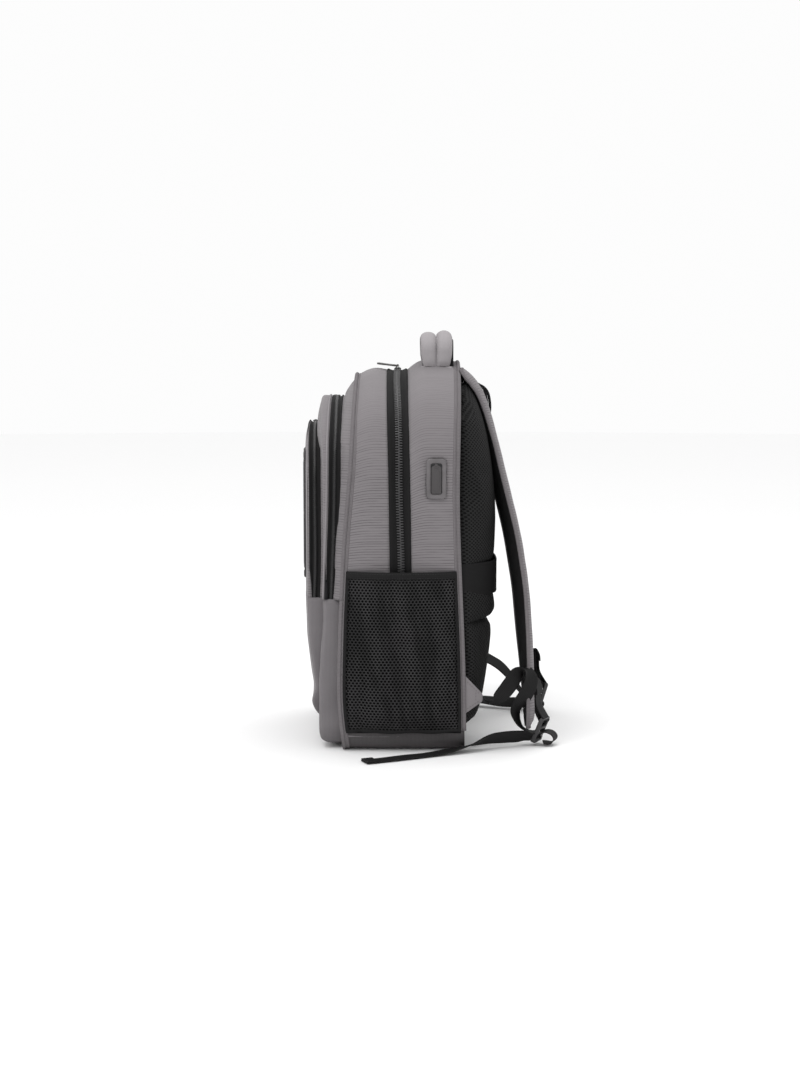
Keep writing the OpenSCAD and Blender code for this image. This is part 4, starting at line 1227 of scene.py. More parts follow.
def back_panel():
    """Cloth behind the pads, and its lower edge round the foot."""
    def depth(x, z, d):
        return back_seam(z) + 3.5 * (1 - math.exp(-d / 6))

    upper = face("back_upper", Hoop(BODY_W, REAR_H, 60), depth, "mesh", 0.5, (40, 50), 0.5, 31, middle=(0, 0, 260))
    lower = face("back_lower", Cradle(BODY_W, 60, 1), depth, "mesh", 0.5, (40, 10), 0.5, 31, middle=(0, 0, 30))
    return join("back_cloth", [upper, lower])


fit(lined(back_panel()), "pack", "black_air_mesh", "back_panel")

# Pads: (height, depth) of their outer surface, from the foot upwards
PAD_CROWN = along([(12, 80), (30, 88), (49, 95), (85, 104), (128, 112), (154, 115), (170, 119), (184, 117),
                   (230, 117), (298, 114.5), (330, 111.5), (371, 106), (400, 100.5), (430, 92), (444, 86),
                   (456, 80)])
PAD_INNER, PAD_OUTER = 22, 147  # the pads' two sides, from the middle of the bag
PAD_PLAN = [(PAD_INNER, 0.0), (23, 0.5), (28, 0.86), (40, 0.97), (72, 1.0), (98, 0.99), (112, 0.9), (128, 0.66),
            (139, 0.42), (146, 0.24), (PAD_OUTER, 0.0)]
PAD_ARCH = 300  # height from which the pads follow the bag's arch


def pad(name, z0, z1, puff):
    """Right-hand pad between two heights, as a crowned closed form inflated by simulation."""
    plan = spline(PAD_PLAN, 30)
    rows = []
    for t in (0.5 - 0.5 * np.cos(np.linspace(0, math.pi, 34))):
        z = z0 + (z1 - z0) * t
        end = min(1, (min(z - z0, z1 - z) / 9 + 0.02)) ** 0.45
        base = float(back_seam(z)) + 3
        deep = float(PAD_CROWN(z)) - base - puff
        wide = (min(PAD_OUTER, pad_edge(z)) if z > PAD_ARCH else PAD_OUTER) - PAD_INNER
        rows.append([(PAD_INNER + (x - PAD_INNER) * wide / (PAD_OUTER - PAD_INNER), base + max(0.6, deep * h * end), z)
                     for x, h in plan])
    rows = np.array(rows)
    flat = rows.copy()
    flat[..., Y] = back_seam(rows[..., Z]) + 2
    P = np.concatenate([rows, flat[:, ::-1]], 1)
    U = np.zeros((len(P), P.shape[1] + 1))
    piece = grid(name, P, U, U, "mesh", closed=True, middle=tuple(P.reshape(-1, 3).mean(0)))
    with editing(piece.data) as bm:
        bmesh.ops.holes_fill(bm, edges=[e for e in bm.edges if e.is_boundary])
        bmesh.ops.recalc_face_normals(bm, faces=bm.faces)
    inflate(piece)
    return piece


def pad_edge(z):
    """Half width of the bag's outline at a height, less the seam."""
    line = back_shape.at(5)
    right = line[: len(line) // 2 + 1]
    return float(np.interp(z, right[:, 1], right[:, 0]))


VOXEL, SWELL_MOST = 5.0, 7.0  # millimetres
PRESSURE, FRAMES = 4.0, 20


def inflate(piece):
    """Remeshes a closed form and swells it as cloth under pressure, moving no point further than SWELL_MOST."""
    remesh = piece.modifiers.new("remesh", "REMESH")
    remesh.mode = "VOXEL"
    remesh.voxel_size = VOXEL * MM
    bpy.context.view_layer.update()
    evaluated = piece.evaluated_get(bpy.context.evaluated_depsgraph_get())
    mesh = bpy.data.meshes.new_from_object(evaluated)
    piece.modifiers.clear()
    material = piece.data.materials[0]
    piece.data = mesh
    mesh.materials.clear()
    mesh.materials.append(material)
    rest = np.array([v.co for v in mesh.vertices])
    cloth = piece.modifiers.new("cloth", "CLOTH")
    cloth.settings.use_pressure = True
    cloth.settings.uniform_pressure_force = PRESSURE
    cloth.settings.effector_weights.gravity = 0
    cloth.point_cache.frame_start = 1
    cloth.point_cache.frame_end = FRAMES
    for step in range(1, FRAMES + 1):
        bpy.context.scene.frame_set(step)
    evaluated = piece.evaluated_get(bpy.context.evaluated_depsgraph_get())
    push = np.array([v.co for v in evaluated.data.vertices]) - rest
    piece.modifiers.clear()
    bpy.context.scene.frame_set(1)
    far = np.linalg.norm(push, axis=1)[:, None]
    push *= np.minimum(1, SWELL_MOST * MM / np.maximum(far, 1e-9))
    mesh.vertices.foreach_set("co", (rest + push).ravel())
    smooth = piece.modifiers.new("smooth", "SMOOTH")
    smooth.iterations = 3
    round_off = piece.modifiers.new("subdivision", "SUBSURF")
    round_off.levels = round_off.render_levels = 1
    mesh.polygons.foreach_set("use_smooth", [True] * len(mesh.polygons))
    mesh.update()


for name, z0, z1, puff, fill in (("upper_back_pad", 219, 449, 4, 0.8), ("lumbar_pad", 152, 199, 3, 0.7),
                                 ("lower_back_pad", 12, 158, 4, 0.7)):
    for piece in both(pad(name + "_right", z0, z1, puff), name + "_left").values():
        fit(piece, "pack", "black_air_mesh", name + "s")

# Band that slips over a suitcase handle
BAND_Z = span("luggage_strap", Z)
BAND_LINE = [(-146, 69), (-143, 80), (-133, 92), (-116, 107), (-96, 116), (-50, 118.4), (0, 117), (50, 118.4),
             (96, 116), (116, 107), (133, 92), (143, 80), (146, 69)]
band_path = np.column_stack([spline(BAND_LINE, 80), np.full(80, sum(BAND_Z) / 2)])
luggage = sweep("luggage_band", band_path, (0, 0, 1), flat_band(BAND_Z[1] - BAND_Z[0], 2.4, 13), "tape")
fit(luggage, "pack", "black_webbing", "luggage_strap")

# ---------- shoulder straps ----------

# Side view of a strap's middle surface (depth, height), and its plan (height, middle, half width)
STRAP_LINE = [(77, 458), (81, 451), (85, 445), (91, 437), (99, 420), (112, 371), (120, 335), (129, 298), (138, 260),
              (144, 225), (149, 190), (152, 152), (155, 110), (156.5, 79), (158.5, 23)]
STRAP_PLAN = [(24, 112, 17), (34, 111, 21), (79, 107, 26), (152, 97, 31), (225, 86, 34), (298, 75, 34),
              (371, 63, 32), (452, 50, 26)]
STRAP_T = 6.3  # from the middle surface to each face
STRAP_SEAM = 3.0  # how far both faces' seams lie to the lining's side of it
STRAP_TUCK = 1.0  # how far the faces stop short of the strap's edges
STRAP_POINTS, FACE_POINTS = 90, 26  # along the strap and across it
# Degrees by which the strap's outer edge turns back, by height
STRAP_TURN = along([(20, 0), (60, 3), (110, 7.5), (160, 9.5), (330, 9.5), (400, 7), (430, 2), (452, 0)])
STRAP_HINGE = (80, 449)  # (depth, height) of the line about which the straps swing
LEFT_LEAN = math.radians(2)  # the left strap stands off a little further
strap_mid = along([(z, x) for z, x, w in STRAP_PLAN])
strap_half = along([(z, w) for z, x, w in STRAP_PLAN])


def strap_sections(path, height):
    """Crowned cross-sections of one face of a strap, from edge to edge."""
    u = np.sin(np.linspace(-math.pi / 2, math.pi / 2, FACE_POINTS))
    crown = (1 - np.abs(u) ** 3.2) ** 0.62
    run = length_along(path)
    ends = np.clip(np.minimum(run, run[-1] - run) / 16, 0, 1) ** 0.5
    sections = []
    for z, end in zip(path[:, 2], ends):
        half = (float(strap_half(z)) - STRAP_TUCK) * (0.72 + 0.28 * end)
        up = (height + STRAP_SEAM) * crown * (0.35 + 0.65 * end) - STRAP_SEAM
        sections.append(np.column_stack([half * u, up]))
    return np.array(sections)


def strap_face(name, height, material, wrinkle, seed):
    """One face of a strap, and its rows of points. height is how far it stands out from the middle surface."""
    line = spline(STRAP_LINE, STRAP_POINTS)
    path = np.column_stack([strap_mid(line[:, 1]), line])
    sections = strap_sections(path, height)
    way = unit(np.gradient(path, axis=0))
    side = unit(np.array([1.0, 0, 0]) - way * way[:, :1])
    up = np.cross(way, side)
    if up[STRAP_POINTS // 2][Y] < 0:
        up = -up
    turn = np.radians(STRAP_TURN(path[:, 2]))[:, None]
    side, up = side * np.cos(turn) + up * np.sin(turn), up * np.cos(turn) - side * np.sin(turn)
    P = path[:, None] + sections[..., :1] * side[:, None] + sections[..., 1:] * up[:, None]
    push = wrinkle * ripple(P, 24, seed) * (1 - np.linspace(-1, 1, P.shape[1]) ** 4)[None]
    P += push[..., None] * up[:, None]
    V = np.repeat(-length_along(path)[:, None], P.shape[1], 1)
    piece = grid(name, P, sections[..., 0], V, material, middle=(0, 0, 0))
    sign = sum(f.normal.y * f.area for f in piece.data.polygons)
    if sign * height < 0:
        piece.data.flip_normals()
    return piece, P


def strap(name_grey, name_mesh):
    """Outer cloth of a strap with the cords along its edges, and its mesh lining."""
    outer, P = strap_face(name_grey, STRAP_T, "grey", 0.5, 51)
    inner = strap_face(name_mesh, -STRAP_T, "strap_mesh", 0.4, 52)[0]
    parts = [outer]
    for label, column in (("a", 0), ("b", -1)):
        line = P[:, column] + [0, -0.3, 0]
        parts.append(tube(name_grey + label, line, 2.2, "binding", 8))
    for row in (0, -1):
        parts.append(tube(name_grey + "end", P[row] + [0, -0.3, 0], 1.6, "binding", 8))
    return join(name_grey, parts), inner


def lean(piece):
    """Turns a mirrored piece about the straps' hinge line."""
    pivot = Vector((0, *STRAP_HINGE)) * MM
    turn = Matrix.Translation(pivot) @ Matrix.Rotation(LEFT_LEAN, 4, "X") @ Matrix.Translation(-pivot)
    piece.data.transform(turn)
    return piece


STRAP_BLEND = (447, 425)  # heights between which a strap leaves the bag
shell, inside = strap("strap_shell_right", "strap_inside_right")
shells, insides = both(shell, "strap_shell_left", lean), both(inside, "strap_inside_left", lean)
for side in shells:
    bodies = ("pack", "strap_" + side)
    bend(shells[side], bodies, *STRAP_BLEND, "grey_polyester", "strap_" + side)
    bend(insides[side], bodies, *STRAP_BLEND, "black_air_mesh", "strap_mesh_" + side)

# Folded strip over the upper ends of the straps
YOKE_HALF = 118
yoke_rows = []
for y, z in ((72, 441.5), (76.5, 441), (79, 444), (79.6, 449.5), (78.6, 455), (74, 458), (69, 458.5)):
    xs = np.linspace(-1, 1, 50) * min(YOKE_HALF, pad_edge(z) - 1)
    yoke_rows.append(np.column_stack([xs, y + 0.4 * np.sin(xs / 17), z + 0.5 * np.sin(xs / 23)]))
yoke_rows = np.array(yoke_rows)
yoke = grid("strap_yoke_cloth", yoke_rows, yoke_rows[..., X], yoke_rows[..., Z], "grey", middle=(0, 0, 449))
fit(yoke, "pack", "grey_polyester", "strap_yoke")

# ---------- webbing and ladder locks ----------

LOCK = (112, 176, 31)
LOCK_LEAN = math.radians(24)  # the locks hang out from the strap, and turned outwards
LOCK_ACROSS = np.array([math.cos(LOCK_LEAN), -math.sin(LOCK_LEAN), 0])


def ladder_lock(name):
    """Two-slot strap buckle that hangs from its upper bar."""
    inner, rail = 11, 2.6
    wide = inner + rail
    edge = [(-wide, 1), (-wide + 1.6, 3.4), (wide - 1.6, 3.4), (wide, 1), (wide, -24), (wide - 2, -28.4),
            (wide - 5, -29), (-wide + 5, -29), (-wide + 2, -28.4), (-wide, -24)]
    upper = shifted(round_rect(2 * inner, 6.4, 1.0, 4), 0, -5.0)
    lower = shifted(round_rect(2 * inner, 6.6, 1.0, 4), 0, -15.2)
    down = (0, -math.sin(LOCK_LEAN), -math.cos(LOCK_LEAN))
    place = frame_at(LOCK, tuple(LOCK_ACROSS), tuple(-c for c in down))
    frame_plate = plate(name, [edge, upper, lower], 5.2, 0.9, "plastic", place)
    lip = plate(name + "_lip", [shifted(round_rect(2 * wide - 2, 6.2, 1.6, 4), 0, -25.4)], 6.6, 1.2, "plastic",
                place)
    grips = [plate(name + "_grip", [shifted(round_rect(2 * inner - 4, 0.9, 0.4, 3), 0, -23.6 - 1.8 * k)],
                   7.4, 0.35, "plastic", place) for k in range(3)]
    return join(name, [frame_plate, lip] + grips)


for side, lock in both(ladder_lock("ladder_lock_moulding_right"), "ladder_lock_moulding_left", lean).items():
    fit(lock, "ladder_lock_" + side, "buckle_plastic", "ladder_lock_" + side)


def strap_loops(name):
    """Webbing that is sewn to a strap: a loop round the lock's upper bar with a patch over it, and the keeper
    near the top of the strap."""
    bar = [(LOCK[1] + 3.2 * math.cos(a), LOCK[2] + 3.2 * math.sin(a)) for a in np.radians(np.linspace(165, 395, 9))]
    line = [(163.6, 78), (164.4, 66), (165.6, 50)] + bar + [(169.6, 50), (168.4, 66)]
    loop = webbing("loop", [(LOCK[0], y, z) for y, z in line], LOCK_ACROSS, 20, 1.3, 60)
    fold = [(163.2, 80), (166.6, 79), (169.6, 72), (170.2, 64)]
    patch = webbing("patch", [(LOCK[0], y, z) for y, z in fold], LOCK_ACROSS, 21, 1.6, 24)
    keep = [(95.5, 438), (100, 437.5), (105.5, 433), (109, 426), (110.8, 414), (110.5, 405)]
    keeper = webbing("keeper", [(54, y, z) for y, z in keep], (1, 0, 0), 22, 2.6, 40)
    return join(name, [loop, patch, keeper])


for side, loops in both(strap_loops("strap_loops_right"), "strap_loops_left", lean).items():
    fit(loops, "strap_" + side, "black_webbing")

# Lower webbing and its free tail: their middle lines, and their width directions or the tilt of them
WEB_W, WEB_T = 20, 1.4
LOWER_PATH = [(148, 99, 66), (147, 106, 63), (145, 113, 62.5), (143, 123, 69), (140, 133, 81), (138.5, 141, 93),
              (138, 148, 98), (138, 155, 95), (138, 158, 84), (137.5, 153, 70), (132, 146, 57), (121, 142, 44),
              (114, 145, 30), (112, 152, 20), (112, 162, 16), (112, 168, 17)]
LOWER_SIDE = [(1, 0, 0.12), (0.93, 0, 0.36), (0.72, -0.15, 0.66), (0.3, -0.5, 0.8), (0.2, -0.75, 0.6),
              (0.45, -0.8, 0.4), (0.8, -0.5, 0.2), (0.8, -0.5, -0.2), (0.5, -0.85, -0.1), (0.35, -0.9, 0.3),
              (0.5, -0.8, 0.35), (0.8, -0.55, 0.2), (0.95, -0.3, 0), (1, 0, 0), (1, 0, 0), (1, 0, 0)]
TAIL_PATH = [(112, 172, 12), (112, 163, 9), (114, 154, 11), (118, 146, 12), (126, 130, 13), (137, 108, 13),
             (149, 84, 8), (160, 60, 4), (172, 34, 1.4), (186, 8, 1.8), (199, -18, 1.4), (210, -42, 1.4)]
TAIL_TILT = [0.0, 0.4, 0.9, 1.4, 1.5, 1.1, 0.35, 0.05, 0, 0, 0, 0]
LEFT_PATH = [(148, 99, 66), (147, 107, 65.5), (142, 120, 64), (134, 134, 57), (125, 147, 45), (117, 157, 32),
             (113, 166, 22.5), (112, 176.5, 19.6), (112, 183, 20.6)]
LEFT_TAIL = [(112, 186, 15.6), (112, 176, 11), (117, 160, 9), (124, 138, 8), (136, 112, 9), (149, 84, 8),
             (160, 60, 4), (172, 34, 1.4), (186, 8, 1.8), (199, -18, 1.4), (210, -42, 1.4)]
LEFT_SIDE = [(0.2, 0, 1), (0.3, 0, 1), (1, 0.4, 0.5), (1, 0.4, 0.4), (1, 0.3, 0.3), (1, 0.2, 0.2), (1, 0.1, 0.1),
             (1, 0, 0), (1, 0, 0)]
LEFT_TILT = [0.0, 0.3, 0.6, 0.5, 0.35, 0.15, 0, 0, 0, 0, 0]


def lower_webbing(name, path, sides, tail, tilts):
    """Webbing from the tab at the foot to the lock, and its free tail with a folded end."""
    up = webbing("up", path, sides, WEB_W, WEB_T, 90)
    free = webbing("free", tail, [(0.9, 0.42, t) for t in tilts], WEB_W, WEB_T, 110)
    hem_line = [np.array(tail[-1]) + np.array([-0.39, 0.92, 0]) * s + [0, 0, 1.5] for s in (14, 9, 4, 0.5)]
    hem = webbing("hem", hem_line, (0.92, 0.39, 0), 20.4, 1.5, 16)
    slack = [(112, 170, 13), (112, 178, 17), (112, 186, 15), (112, 190, 9), (112, 185, 3.5), (112, 175, 3.5)]
    loop = webbing("slack", slack, (1, -0.35, 0), WEB_W, WEB_T, 36)
    return join(name, [up, free, hem, loop])


right_web = lower_webbing("lower_webbing_right", LOWER_PATH, LOWER_SIDE, TAIL_PATH, TAIL_TILT)
left_raw = lower_webbing("left_raw", LEFT_PATH, LEFT_SIDE, LEFT_TAIL, LEFT_TILT)
left_web = mirrored(left_raw, "lower_webbing_left")
bpy.data.objects.remove(left_raw)
for side, piece in (("right", right_web), ("left", left_web)):
    "strap_" + side
    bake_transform(piece)
    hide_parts("strap_webbing_" + side)

TAB_X, TAB_T = 148, 4.2
TAB_EDGE = [(77.5, 93), (98.5, 71), (100.0, 66), (98.5, 61), (78, 46)]


def facing(x, y, z):
    """Place of a plate on the bag's right side, with its own X axis to the rear and its Y axis up."""
    return Matrix(((0, 0, 1, x), (1, 0, 0, y), (0, 1, 0, z), (0, 0, 0, 1)))


def tab(name):
    """Triangular tab that holds the lower webbing."""
    cloth = plate(name, [TAB_EDGE], TAB_T, 1.4, "grey", facing(TAB_X, 0, 0))
    uv = cloth.data.uv_layers.new(name="UVMap")
    for loop in cloth.data.loops:
        co = cloth.data.vertices[loop.vertex_index].co
        uv.data[loop.index].uv = (co.y, co.z)
    return cloth


for side, piece in both(tab("strap_tab_cloth_right"), "strap_tab_cloth_left").items():
    fit(piece, "pack", "grey_polyester", "strap_tab_" + side)

# ---------- handle ----------

HANDLE_Y, HANDLE_W = middle_of("top_handle", Y), size_of("top_handle", Y)
HANDLE_TOP = span("top_handle", Z)[1] - 5.5  # of the band's middle line
HANDLE_X, HANDLE_R = 51, 16  # where the handle's ends stand, and the radius of its bends


def handle_path():
    """Middle line of the handle, from one end to the other."""
    low = REAR_H - 3
    right = [(HANDLE_X, low - 2), (HANDLE_X + 0.2, low + 4), (HANDLE_X, low + 12)]
    right += [(HANDLE_X - HANDLE_R + HANDLE_R * math.cos(a), HANDLE_TOP - HANDLE_R + HANDLE_R * math.sin(a))
              for a in np.radians((20, 45, 70, 90))]
    right += [(HANDLE_X - 28, HANDLE_TOP + 0.6), (HANDLE_X - 40, HANDLE_TOP + 0.9)]
    return [(x, HANDLE_Y, z) for x, z in right] + [(-x, HANDLE_Y, z) for x, z in right[::-1]]


def handle():
    """Padded band with two puffy rolls, a sewn groove between them and a flat lining underneath."""
    path = spline(handle_path(), 110)
    run = length_along(path)
    near_end = np.minimum(run, run[-1] - run)
    u = np.linspace(-1, 1, 33)
    roll = np.sqrt(np.clip(1 - (2 * np.abs(u) - 1) ** 2, 0, 1))
    lobe = np.where(u < 0, 1.15, 0.9)  # the front roll is the fuller one
    sections = []
    for s in near_end:
        wide = HANDLE_W / 2 * np.interp(s, [0, 4, 14, 30], [0.84, 0.9, 1.0, 1.03])
        puff = np.interp(s, [0, 6, 20], [2.4, 4.5, 7.2])
        pinch = 1 + 0.03 * math.sin(s / 3.1)
        top = [(wide * a, 0.6 + puff * h * pinch * k) for a, h, k in zip(u, roll, lobe)]
        bottom = [(wide * a * 0.97, -1.2 - 1.0 * (1 - a * a)) for a in u[::-1]]
        sections.append(top + bottom)
    cloth = sweep("handle_cloth", path, (0, -1, 0), np.array(sections), "light")
    under = sweep("handle_lining", path, (0, -1, 0), shifted(flat_band(HANDLE_W, 1.4, 15), -1.8, -2.4), "tape")
    return join("handle_cloth", [cloth, under])


grip = handle()
bend(grip, ("pack", "top_handle"), REAR_H - 4, REAR_H + 6, "grey_polyester", "top_handle")


def anchor_patches():
    """Stitched patches under the handle's two ends."""
    pieces = []
    for side in (1, -1):
        P = []
        for across in np.linspace(-1, 1, 9):
            row = []
            for t in np.linspace(-1, 1, 15):
                x = side * HANDLE_X + 11 * t
                wide = HANDLE_W / 2 * (0.98 - 0.08 * abs(t))
                up = 1.5 - 1.2 * max(abs(across) ** 6, abs(t) ** 8) + 1.6 * math.exp(-((t / 0.45) ** 2))
                z = whole_edge.ends(0, x)[1] + up
                row.append((x, HANDLE_Y + wide * across, z))
            P.append(row)
        P = np.array(P)
        pieces.append(grid("patch", P, P[..., X], P[..., Y], "light", middle=(0, 0, 200)))
    return join("handle_patches", pieces)


fit(anchor_patches(), "pack", "grey_polyester", "handle_anchors")

# ---------- charging port ----------

PORT_FACE, COVER_FACE = span("port_frame", X)[1], span("port_cover", X)[1]


def port():
    """Moulded frame with a recess, and the well behind it that holds the socket."""
    def ring(name, edge, hole, thick, bevel, material, depth):
        return plate(name, [round_rect(*edge), round_rect(*hole)], thick, bevel, material,
                     facing(PORT_FACE - depth, *PORT[1:]))

    rim = ring("rim", (PORT_W, PORT_H, 5), (PORT_W - 10, PORT_H - 10.5, 3), 3.8, 1.4, "port", 1.9)
    lip = ring("lip", (PORT_W - 8.6, PORT_H - 9.2, 3.4), (PORT_W - 10.4, PORT_H - 11, 2.6), 1.2, 0.4, "port", 0.5)
    # The well takes near-black plastic as painted shade in the gap round the cover.
    well = ring("well", (PORT_W - 8.4, PORT_H - 8.4, 2), (6.4, 14.4, 0.3), 13.2, 0.2, "battery", 9.2)
    return join("port_frame_moulding", [rim, lip, well])


fit(port(), "pack", "port_plastic", "port_frame")


def port_flap():
    """Rubber cover with a peaked grip at the top and a rolled hinge at the foot."""
    half, middle = size_of("port_cover", Y) / 2, middle_of("port_cover", Y)
    low, high = (z - PORT[2] for z in span("port_cover", Z))
    low += 1

    def layer(name, edge, thick, bevel, depth):
        return plate(name, [edge], thick, bevel, "rubber", facing(COVER_FACE - depth, middle, PORT[2]))

    right = [(half - 1, low), (half, low + 1), (half, high - 4.5), (half - 1.5, high - 3), (2.6, high - 2.2),
             (0.8, high)]
    sheet = layer("sheet", [(1 - half, low)] + right + [(-y, z) for y, z in right[:0:-1]], 2.3, 0.7, 1.25)
    boss = layer("boss", shifted(round_rect(2 * half - 3.4, high - low - 11, 2.2), 0, -2.4), 1.2, 0.5, 0.3)
    grip_bar = layer("grip", shifted(round_rect(5.0, 1.3, 0.6), 0, high - 4.2), 1.6, 0.5, 0.2)
    ys = np.linspace(middle - half + 0.3, middle + half - 0.3, 12)
    roll = tube("roll", [(COVER_FACE - 1.2, y, PORT[2] + low + 0.02 * math.sin(y)) for y in ys], 1.0, "rubber", 14)
    return join("port_cover_flap", [sheet, boss, grip_bar, roll])


fit(port_flap(), "port_cover", "port_rubber", "port_cover")

# ---------- sliders and pulls ----------

SLIDER_UP = 1.1  # underside of a slider's upper plate over the top of its zip
MAIN_SLIDER = (FRONT_H, ZIP_C - 2, 5)  # (height of the arch, depth, angle from its top in degrees)
MIDDLE_SLIDER = (MIDDLE_H, sum(MIDDLE_ZIP_Y) / 2 - 1.5, -14)
FRONT_SLIDER = (POCKET_H, sum(FRONT_ZIP_Y) / 2 - 1.5, -12)


def on_crown(where, up, turn):
    """Place on top of an arch: X along the zip, Y to the rear and Z away from the bag."""
    top, y, angle = where
    pivot = Vector((0, 0, top - CROWN_R))
    return (Matrix.Translation(pivot) @ Matrix.Rotation(math.radians(turn * angle), 4, "Y")
            @ Matrix.Translation(-pivot) @ Matrix.Translation((0, y, top + up)))


def moved(piece, place):
    """Applies a place in millimetres to a piece whose points are still at the origin."""
    shift = Matrix(place)
    shift.translation *= MM
    piece.data.transform(shift)
    return piece


def slider(name, where, turn, long, wide, thick, bail_w, bail_h, across):
    """Upper plate with its two wings, and the arched bail that holds the pull's bar. across is true where the
    pull lies along the bag's depth."""
    low = [(-long / 2, -wide * 0.32), (-long * 0.3, -wide / 2), (long * 0.2, -wide / 2), (long / 2, -wide * 0.36)]
    flat = plate("flat", [low + [(x, -y) for x, y in low[::-1]]], thick, 0.5, "metal",
                 on_crown(where, SLIDER_UP + thick / 2, turn))
    reach = 1.5 if across else 1.9
    spring = bail_h * 0.5  # height from which the bail arches
    arch = [(-reach, -0.4), (-reach, spring)]
    arch += [(-reach * math.cos(a), spring + (spring - 0.4) * math.sin(a)) for a in np.radians((30, 60, 90, 120, 150))]
    arch += [(reach, spring), (reach, -0.4)]
    line = spline([(0, a, z) if across else (a, 0, z) for a, z in arch], 30)
    bail = sweep("bail", line, (1, 0, 0) if across else (0, 1, 0), flat_band(bail_w, 0.8, 5), "metal")
    return join(name, [flat, moved(bail, on_crown(where, SLIDER_UP + thick, turn))])


def pull(name, where, turn, up, long, wide, arm, across, tip=0.0):
    """Flat pull on a bar through the bail, with an eye for the bail and a ribbed grip. up is the bar's height,
    and tip the degrees by which the grip's end is raised."""
    bar = 0.55
    right = [(wide / 2, bar), (wide / 2, -long + 2), (wide / 2 - 1.4, -long + 0.3), (wide / 2 - 3, -long)]
    outline = [(-wide / 2, bar)] + right + [(-x, y) for x, y in right[:0:-1]]
    eye = [(-wide / 2 + 1.2, -bar), (wide / 2 - 1.2, -bar), (wide / 2 - 1.2, -arm), (-wide / 2 + 1.2, -arm)]
    place = on_crown(where, up, turn)
    if not across:
        place = place @ Matrix.Rotation(math.radians(-90), 4, "Z")
    place = place @ Matrix.Rotation(math.radians(-tip), 4, "X")
    body = plate("body", [outline, eye], 1.7, 0.4, "metal", place)
    grips = [plate("rib", [shifted(round_rect(wide - 3, 0.9, 0.4, 3), 0, -long + 3 + 1.9 * k)], 2.4, 0.3, "metal",
                   place) for k in range(4)]
    return join(name, [body] + grips)


# Sliders: length, width, thickness, the bail's width and height, and whether the pull lies along the depth.
# Pulls: the bar's height, length, width, the eye's length, the same question, and the tip's degrees.
BIG_SLIDER, SMALL_SLIDER = (11, 7.2, 1.8, 4.6, 4.0, True), (9, 5.2, 1.6, 3.6, 3.2, False)
BIG_PULL, SMALL_PULL = (SLIDER_UP + 4.0, 26, 8.6, 6, True, 7), (SLIDER_UP + 3.1, 24, 6.8, 7, False)
for body, tag, where, turn, sizes, pull_sizes in (
        ("main_slider_right", "main_pull_right", MAIN_SLIDER, 1, BIG_SLIDER, BIG_PULL),
        ("main_slider_left", "main_pull_left", MAIN_SLIDER, -1, BIG_SLIDER, BIG_PULL),
        ("middle_slider", "middle_pull", MIDDLE_SLIDER, 1, SMALL_SLIDER, SMALL_PULL),
        ("front_slider", "front_pull", FRONT_SLIDER, 1, SMALL_SLIDER, SMALL_PULL)):
    fit(slider(body + "_metal", where, turn, *sizes), body, "zip_metal", body)
    fit(pull(tag + "_metal", where, turn, *pull_sizes), tag, "zip_metal", tag)

# ---------- solar panel ----------

PANEL_W, PANEL_H = size_of("solar_border", X), size_of("solar_border", Z)
PANEL_MIDDLE = middle_of("solar_border", Z)
LAMINATE_W, LAMINATE_H = size_of("solar_laminate", X), size_of("solar_laminate", Z)
BORDER = (PANEL_W - LAMINATE_W) / 2
COLUMNS, ROWS, CELL_GAP = 3, 2, 3
CELL_W = (LAMINATE_W - 8 - (COLUMNS - 1) * CELL_GAP) / COLUMNS
CELL_H = (LAMINATE_H - 8 - (ROWS - 1) * CELL_GAP) / ROWS
CELL_CUT = 4.5  # how much of a cell's corner is sawn off


def silicon():
    """Blue-black cell with fine silver fingers and two broader busbars."""
    g = Graph("solar_silicon", Roughness=0.25, Specular_IOR_Level=0.6, Coat_Weight=0.6, Coat_Roughness=0.08)
    u, v = g.place("Object")
    finger = g.step(g.math("PINGPONG", v, 0.9), 0.76, 0.84)
    across = abs(g.math("FRACT", u / (CELL_W + CELL_GAP) + 0.5) - 0.5)
    bus = g.step(abs(across - 0.24), 0.012, 0.022, 1.0, 0.0)
    grain = g.noise(u, v, 0.08, 0.05, 3.0)
    body = g.mix(grain, srgb(14, 20, 38), srgb(24, 32, 56))
    color = g.mix(g.math("MAXIMUM", finger * 0.3, bus), body, srgb(150, 154, 160))
    return g.finish(color, g.math("MAXIMUM", finger, bus), 0.03)


MAT["silicon"] = silicon()


def on_front(depth, x=0.0, z=PANEL_MIDDLE):
    """Place of a plate on the front pocket, a depth in front of its cloth; X across and Y up."""
    return Matrix(((1, 0, 0, x), (0, 0, -1, FACE_Y - depth), (0, 1, 0, z), (0, 0, 0, 1)))


STITCH_W, STITCH_H = 0.7, 0.45


def stitches(name, path, away, material="thread", pitch=3.6, long=2.5):
    """A row of sewn stitches along a path; away is the cloth's outward direction there."""
    path = np.asarray(path, float)
    run = length_along(path)
    away = np.broadcast_to(np.asarray(away, float), path.shape)
    way = np.gradient(path, axis=0)
    points, faces = [], []
    for s in np.arange(pitch / 2, run[-1] - long / 2, pitch):
        p, t, n = (np.array([np.interp(s, run, line[:, k]) for k in range(3)]) for line in (path, way, away))
        t, n = t / np.linalg.norm(t), n / np.linalg.norm(n)
        b = np.cross(n, t)
        faces += block(len(points), 4, 1)
        for a, size in ((-0.5, 0.25), (-0.3, 1.0), (0.3, 1.0), (0.5, 0.25)):
            for c, d in ((-0.5, -0.2), (-0.35, 0.7), (0.35, 0.7), (0.5, -0.2)):
                points.append(p + t * a * long + b * c * STITCH_W * size + n * d * STITCH_H * size)
    return tidied(put(name, points, faces, material))


def ring_path(outline, place):
    """Points in space of a closed outline on a plate."""
    return [tuple(Matrix(place) @ Vector((x, y, 0))) for x, y in outline + outline[:1]]


